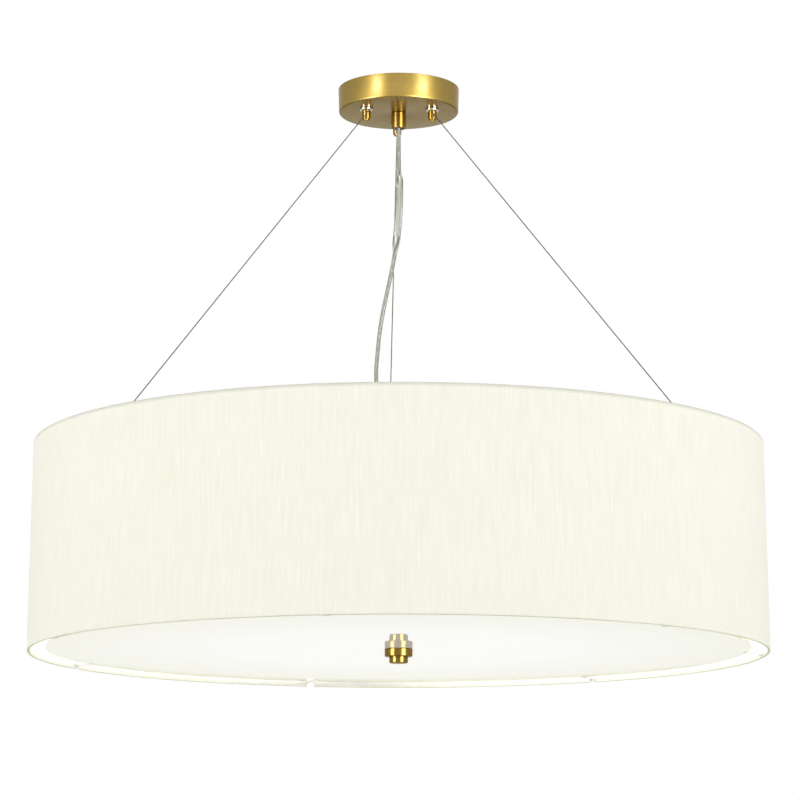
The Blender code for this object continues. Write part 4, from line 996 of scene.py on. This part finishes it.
class PENDANT_OT_spider(bpy.types.Operator):
    """Makes the spider's three bent bars, its hub plate and the riveted wire anchors"""

    bl_idname = "pendant.spider"
    bl_label = "Spider"

    def execute(self, context):
        under = SPIDER_TOP - SPIDER_THICKNESS
        middle, half = (SPIDER_TOP + under) / 2, SPIDER_THICKNESS / 2
        reach, leg_top = 0.4495 - half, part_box("spider_arm_3")[1][2]
        line = rounded([(0.0343, middle), (reach, middle, 0.00375), (reach, leg_top)], 8)
        section = rounded([(0.006, half, 0.0006), (-0.006, half, 0.0006), (-0.006, -half, 0.0006),
                           (0.006, -half, 0.0006)], 3, True)
        for k, azimuth in zip(THREE, WIRE_AZIMUTHS):
            out = outward(azimuth)
            arm = swept(f"spider_bar_{k}", upright(line, out), np.cross(UP, out), section)
            finished(arm, "powder_coat", "drum", f"spider_arm_{k}")
            self.anchor(k, azimuth)
        hub = turned("spider_plate", 120, rounded([
            (0.034, SPIDER_TOP, 0.0005), (0.034, under, 0.0005), (BORE, under, 0.0003),
            (BORE, SPIDER_TOP, 0.0003)], 4, True), True)
        finished(hub, "powder_coat", "drum", "spider_hub")
        return {"FINISHED"}

    def anchor(self, k, azimuth):
        """A riveted post: flange, domed post with a side hole, stem and closing head."""
        below = -SPIDER_THICKNESS - FIT
        place = standing(azimuth, ANCHOR_CIRCLE, SPIDER_TOP)
        post = turned(f"wire_anchor_{k}_dressed", 48, rounded([
            (0.0, 0.0095), (0.0036, 0.0095, 0.0011), (0.0036, 0.0015, 0.0003), (0.0048, 0.0015, 0.0003),
            (0.0048, FIT, 0.0002), (0.0020, FIT), (0.0020, below), (0.0036, below, 0.0002),
            (0.0036, below - 0.0012, 0.0007), (0.0, below - 0.0012)], 5), False, place)
        drilled(post, place, 0.0009, -0.0065, -0.0015, 0.0070, 20)
        finished(post, "polished_brass", "drum", f"wire_anchor_{k}")


class PENDANT_OT_stem(bpy.types.Operator):
    """Makes the cable grip, the threaded stem, the long rod and their nuts"""

    bl_idname = "pendant.stem"
    bl_label = "Stem and rod"

    def execute(self, context):
        foot = SPIDER_TOP + FIT
        grip = turned("cable_grip_dressed", 72, rounded([
            (0.0048, foot + 0.014, 0.0006), (0.0062, foot + 0.0112, 0.0004),
            (0.0058, foot + 0.0108, 0.0002), (0.0074, foot + 0.0088, 0.0004),
            (0.0070, foot + 0.0084, 0.0002), (0.0085, foot + 0.0074, 0.0006),
            (0.0085, foot, 0.0005), (BORE, foot), (BORE, foot + 0.0093), (0.0025, foot + 0.0093),
            (0.0025, foot + 0.014, 0.0003)], 4, True), True)
        finished(grip, "white_moulding", "drum", "cable_grip")
        low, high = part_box("threaded_rod")
        for name, start, stop, bore in (
                ("cluster_stem", CLUSTER_TOP - 0.008, SPIDER_TOP + 0.009, 0.0036),
                ("threaded_rod", low[2], high[2], 0.0)):
            finished(screwed(f"{name}_dressed", start, stop, bore), "zinc_turned", "drum", name)
        for name, flats in (("stem_nut", 0.017), ("rod_nut", 0.015)):
            piece = nut(f"{name}_dressed", flats, 0.004, BORE, raised(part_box(name)[0][2]))
            finished(piece, "zinc_turned", "drum", name)
        return {"FINISHED"}


class PENDANT_OT_cluster(bpy.types.Operator):
    """Makes the lamp cluster's housing and lid, the lampholders and the bulbs"""

    bl_idname = "pendant.cluster"
    bl_label = "Lamp cluster"

    def execute(self, context):
        outer, inner, ceiling = CLUSTER_RADIUS, CLUSTER_RADIUS - 0.0012, CLUSTER_TOP - 0.0012
        housing = turned("cluster_cup", 144, rounded([
            (BORE, CLUSTER_TOP, 0.0003), (outer, CLUSTER_TOP, 0.005), (outer, CLUSTER_FOOT, 0.0004),
            (inner, CLUSTER_FOOT, 0.0004), (inner, ceiling, 0.0038), (BORE, ceiling)], 7, True), True)
        finished(housing, "powder_coat", "drum", "cluster_housing")
        top, foot = CLUSTER_FOOT - FIT, CLUSTER_FOOT - FIT - 0.0015
        lid = turned("cluster_cover", 144, rounded([
            (0.0388, top + 0.004, 0.0003), (0.0400, top + 0.004, 0.0003), (0.0400, top),
            (outer, top, 0.0003), (outer, foot, 0.0006), (BORE, foot), (BORE, top),
            (0.0388, top, 0.0004)], 4, True), True)
        finished(lid, "powder_coat", "drum", "cluster_lid")
        for k, azimuth in zip(THREE, WIRE_AZIMUTHS):
            self.lamp(k, lying(azimuth, 0.0, LAMP_HEIGHT))
        return {"FINISHED"}

    def lamp(self, k, place):
        """A ribbed lampholder with its cap and bulb, all turned round one level line."""
        back = CLUSTER_RADIUS + FIT
        mouth, floor = back + 0.045, back + 0.045 - 0.026
        line = [(0.0, floor), (0.0142, floor), (0.0142, mouth, 0.0003), (0.0195, mouth, 0.0007)]
        for rib in range(6):
            z = mouth - 0.004 - 0.0022 * rib
            line += [(0.0195, z, 0.0002), (0.0189, z - 0.0003, 0.0002), (0.0189, z - 0.0008, 0.0002),
                     (0.0195, z - 0.0011, 0.0002)]
        line += [(0.0195, back + 0.019, 0.0008), (0.0185, back + 0.0178, 0.0008),
                 (0.0185, back + 0.007, 0.002), (0.013, back, 0.001), (0.0049, back),
                 (0.0049, 0.036, 0.0003), (0.0, 0.036)]
        holder = turned(f"lampholder_{k}_dressed", 96, rounded(line, 3), False, place)
        finished(holder, "white_moulding", "drum", f"lampholder_{k}")
        self.cap(k, place, floor + FIT)
        profile = np.vstack([smooth_route(BULB_OUTLINE, 0.0015)[::-1], [(0.0, 0.0)]])
        profile[:, 0] = np.maximum(profile[:, 0], 0.0)
        profile[:, 1] += floor + FIT + CAP_LENGTH + FIT
        glass = turned(f"bulb_glass_{k}_dressed", 96, profile, False, place)
        finished(glass, "opal_bulb", f"bulb_{k}", f"bulb_glass_{k}")

    def cap(self, k, place, foot):
        """A rolled screw cap: r = R - d (1 - cos(2 pi z / p - a)) / 2 between a plain rim and the cone."""
        angle, pitch = all_round(48), 0.0036
        cone, plain, top = foot + 0.0042, foot + 0.0240, foot + CAP_LENGTH
        z = np.linspace(plain, cone, 60)[:, None]
        fade = np.clip(np.minimum(plain - z, z - cone) / 0.002, 0, 1)
        r = 0.0130 - 0.0008 * fade * (1 - np.cos(TAU * z / pitch - angle)) / 2
        rim = np.array([(0.0, top), (0.0126, top), (0.0130, top - 0.0005)])
        contact = np.array([(0.010, foot + 0.0017), (0.005, foot + 0.0017), (0.0048, foot + FIT),
                            (0.0044, foot), (0.0, foot)])
        radius = np.vstack([np.tile(rim[:, :1], len(angle)), r, np.tile(contact[:, :1], len(angle))])
        height = np.vstack([rim[:, 1:], z, contact[:, 1:]])
        points = moved(ringed(radius, height, angle), place)
        uv = uv_grid(np.linspace(0, 1, len(angle) + 1) * 0.08, height[:, 0])
        cap = surface(f"bulb_cap_{k}_dressed", points, uv, False, True, 50.0)
        finished(cap, "nickel_cap", f"bulb_{k}", f"bulb_cap_{k}")


class PENDANT_OT_diffuser(bpy.types.Operator):
    """Makes the opal diffuser and the seven clips over the bottom hem"""

    bl_idname = "pendant.diffuser"
    bl_label = "Diffuser and clips"

    def execute(self, context):
        self.disc()
        for k, azimuth in enumerate(CLIP_AZIMUTHS, start=1):
            self.clip(k, azimuth)
        return {"FINISHED"}

    def disc(self):
        """Crowned disc: underside z = edge + crown (1 - (r / R)^2), 3 mm thick, polished rim."""
        edge, thick, wide = DIFFUSER_EDGE, DIFFUSER_THICKNESS, DIFFUSER_RADIUS
        radius = np.linspace(BORE, wide - 0.0004, 36)
        under = edge + (DIFFUSER_CENTRE - edge) * (1 - (radius / wide) ** 2)
        faces = [np.stack([radius, under + rise], axis=-1)[:-1] for rise in (0.0, thick)]
        rim = rounded([
            (wide - 0.0012, edge + 0.00002), (wide - 0.0007, edge), (wide, edge, 0.00015),
            (wide, edge + thick, 0.00015), (wide - 0.0007, edge + thick),
            (wide - 0.0012, edge + thick + 0.00002)])
        profile = np.vstack([faces[0], rim, faces[1][::-1]])
        disc = turned("diffuser_plate", sizes().round_steps, profile, True)
        finished(disc, "polished_opal", "diffuser", "diffuser_disc")

    def clip(self, k, azimuth):
        """A sprung clip, 9 mm wide, cut from one outline: tongue under the diffuser, leg down behind the
        hem and hook over the hem's tuck. A small rivet head shows on its leg."""
        tongue, foot = DIFFUSER_EDGE - FIT, SHADE_FOOT - 0.0007
        leg, inner, hook = 0.4499, 0.4489, SHADE_FOOT + HEM + 0.0018
        outline = rounded([
            (0.4285, tongue, 0.0003), (0.4285, tongue - 0.0010, 0.0003), (inner, tongue - 0.0010, 0.0006),
            (inner, foot, 0.0004), (leg, foot, 0.0004), (leg, hook, 0.0003), (leg + 0.0024, hook, 0.0003),
            (leg + 0.0024, hook + 0.0010, 0.0004), (inner, tongue + 0.0001, 0.0006)], 3, True)
        out = outward(azimuth)
        wide = np.cross(UP, out) * 0.0045
        line = upright(outline, out)
        uv = uv_grid(np.array((0.0, 0.009)), np.append(lengths(line), 0.06))
        points = np.stack([line + wide, line - wide], axis=1)
        strip = surface(f"diffuser_clip_{k}_dressed", points, uv, True, False, 30.0, True)
        edge = strip.modifiers.new("edge", "BEVEL")
        edge.width, edge.segments = 0.00018, 2
        edge.limit_method, edge.angle_limit = "ANGLE", math.radians(60)
        finished(strip, "clip_moulding", "drum", f"diffuser_clip_{k}")
        rivet = turned(f"clip_rivet_{k}", 24, rounded([
            (0.0, 0.0006), (0.0009, 0.0006), (0.0012, 0.0, 0.0002), (0.0011, -0.0005, 0.0003),
            (0.0, -0.0007)]), False, lying(azimuth + 0.3, inner, DIFFUSER_EDGE - 0.0024))
        finished(rivet, "olive_rivet", "drum")


class PENDANT_OT_finial(bpy.types.Operator):
    """Makes the brass finial disc and its knob"""

    bl_idname = "pendant.finial"
    bl_label = "Finial"

    def execute(self, context):
        disc = turned("finial_collar", 128, rounded([
            (BORE, FINIAL_TOP), (0.0172, FINIAL_TOP, 0.0006), (0.0172, FINIAL_FOOT, 0.0014),
            (BORE, FINIAL_FOOT, 0.0002)], 6, True), True)
        finished(disc, "polished_brass", "finial_collar", "finial_disc")
        knob = turned("finial_button", 112, rounded([
            (0.0, KNOB_FOOT + 0.0025), (BORE, KNOB_FOOT + 0.0025), (BORE, KNOB_TOP, 0.0002),
            (0.0115, KNOB_TOP, 0.0004), (0.0115, KNOB_FOOT, 0.0018), (0.0, KNOB_FOOT)], 7))
        finished(knob, "polished_brass", "finial_cap", "finial_knob")
        return {"FINISHED"}


OPERATORS = (
    PENDANT_OT_stage, PENDANT_OT_cords, PENDANT_OT_ceiling_plate, PENDANT_OT_bracket, PENDANT_OT_gland,
    PENDANT_OT_grippers, PENDANT_OT_drum, PENDANT_OT_spider, PENDANT_OT_stem, PENDANT_OT_cluster,
    PENDANT_OT_diffuser, PENDANT_OT_finial)


class PENDANT_PT_panel(bpy.types.Panel):
    """Lists the lamp's sizes, colours and makers in the sidebar"""

    bl_idname = "PENDANT_PT_panel"
    bl_label = "Drum Pendant Light"
    bl_space_type = "VIEW_3D"
    bl_region_type = "UI"
    bl_category = "Pendant"

    def draw(self, context):
        layout = self.layout
        for group in (context.scene.pendant_sizes, context.scene.pendant_colours):
            box = layout.box()
            for name in group.__annotations__:
                box.prop(group, name)
        column = layout.column(align=True)
        for operator in OPERATORS:
            column.operator(operator.bl_idname)


CLASSES = (PENDANT_PG_sizes, PENDANT_PG_colours, *OPERATORS, PENDANT_PT_panel)


def register():
    for kind in CLASSES:
        bpy.utils.register_class(kind)
    bpy.types.Scene.pendant_sizes = PointerProperty(type=PENDANT_PG_sizes)
    bpy.types.Scene.pendant_colours = PointerProperty(type=PENDANT_PG_colours)


def unregister():
    del bpy.types.Scene.pendant_colours
    del bpy.types.Scene.pendant_sizes
    for kind in reversed(CLASSES):
        bpy.utils.unregister_class(kind)


def main():
    register()
    for operator in OPERATORS:
        group, name = operator.bl_idname.split(".")
        getattr(getattr(bpy.ops, group), name)()


if __name__ == "__main__":
    main()
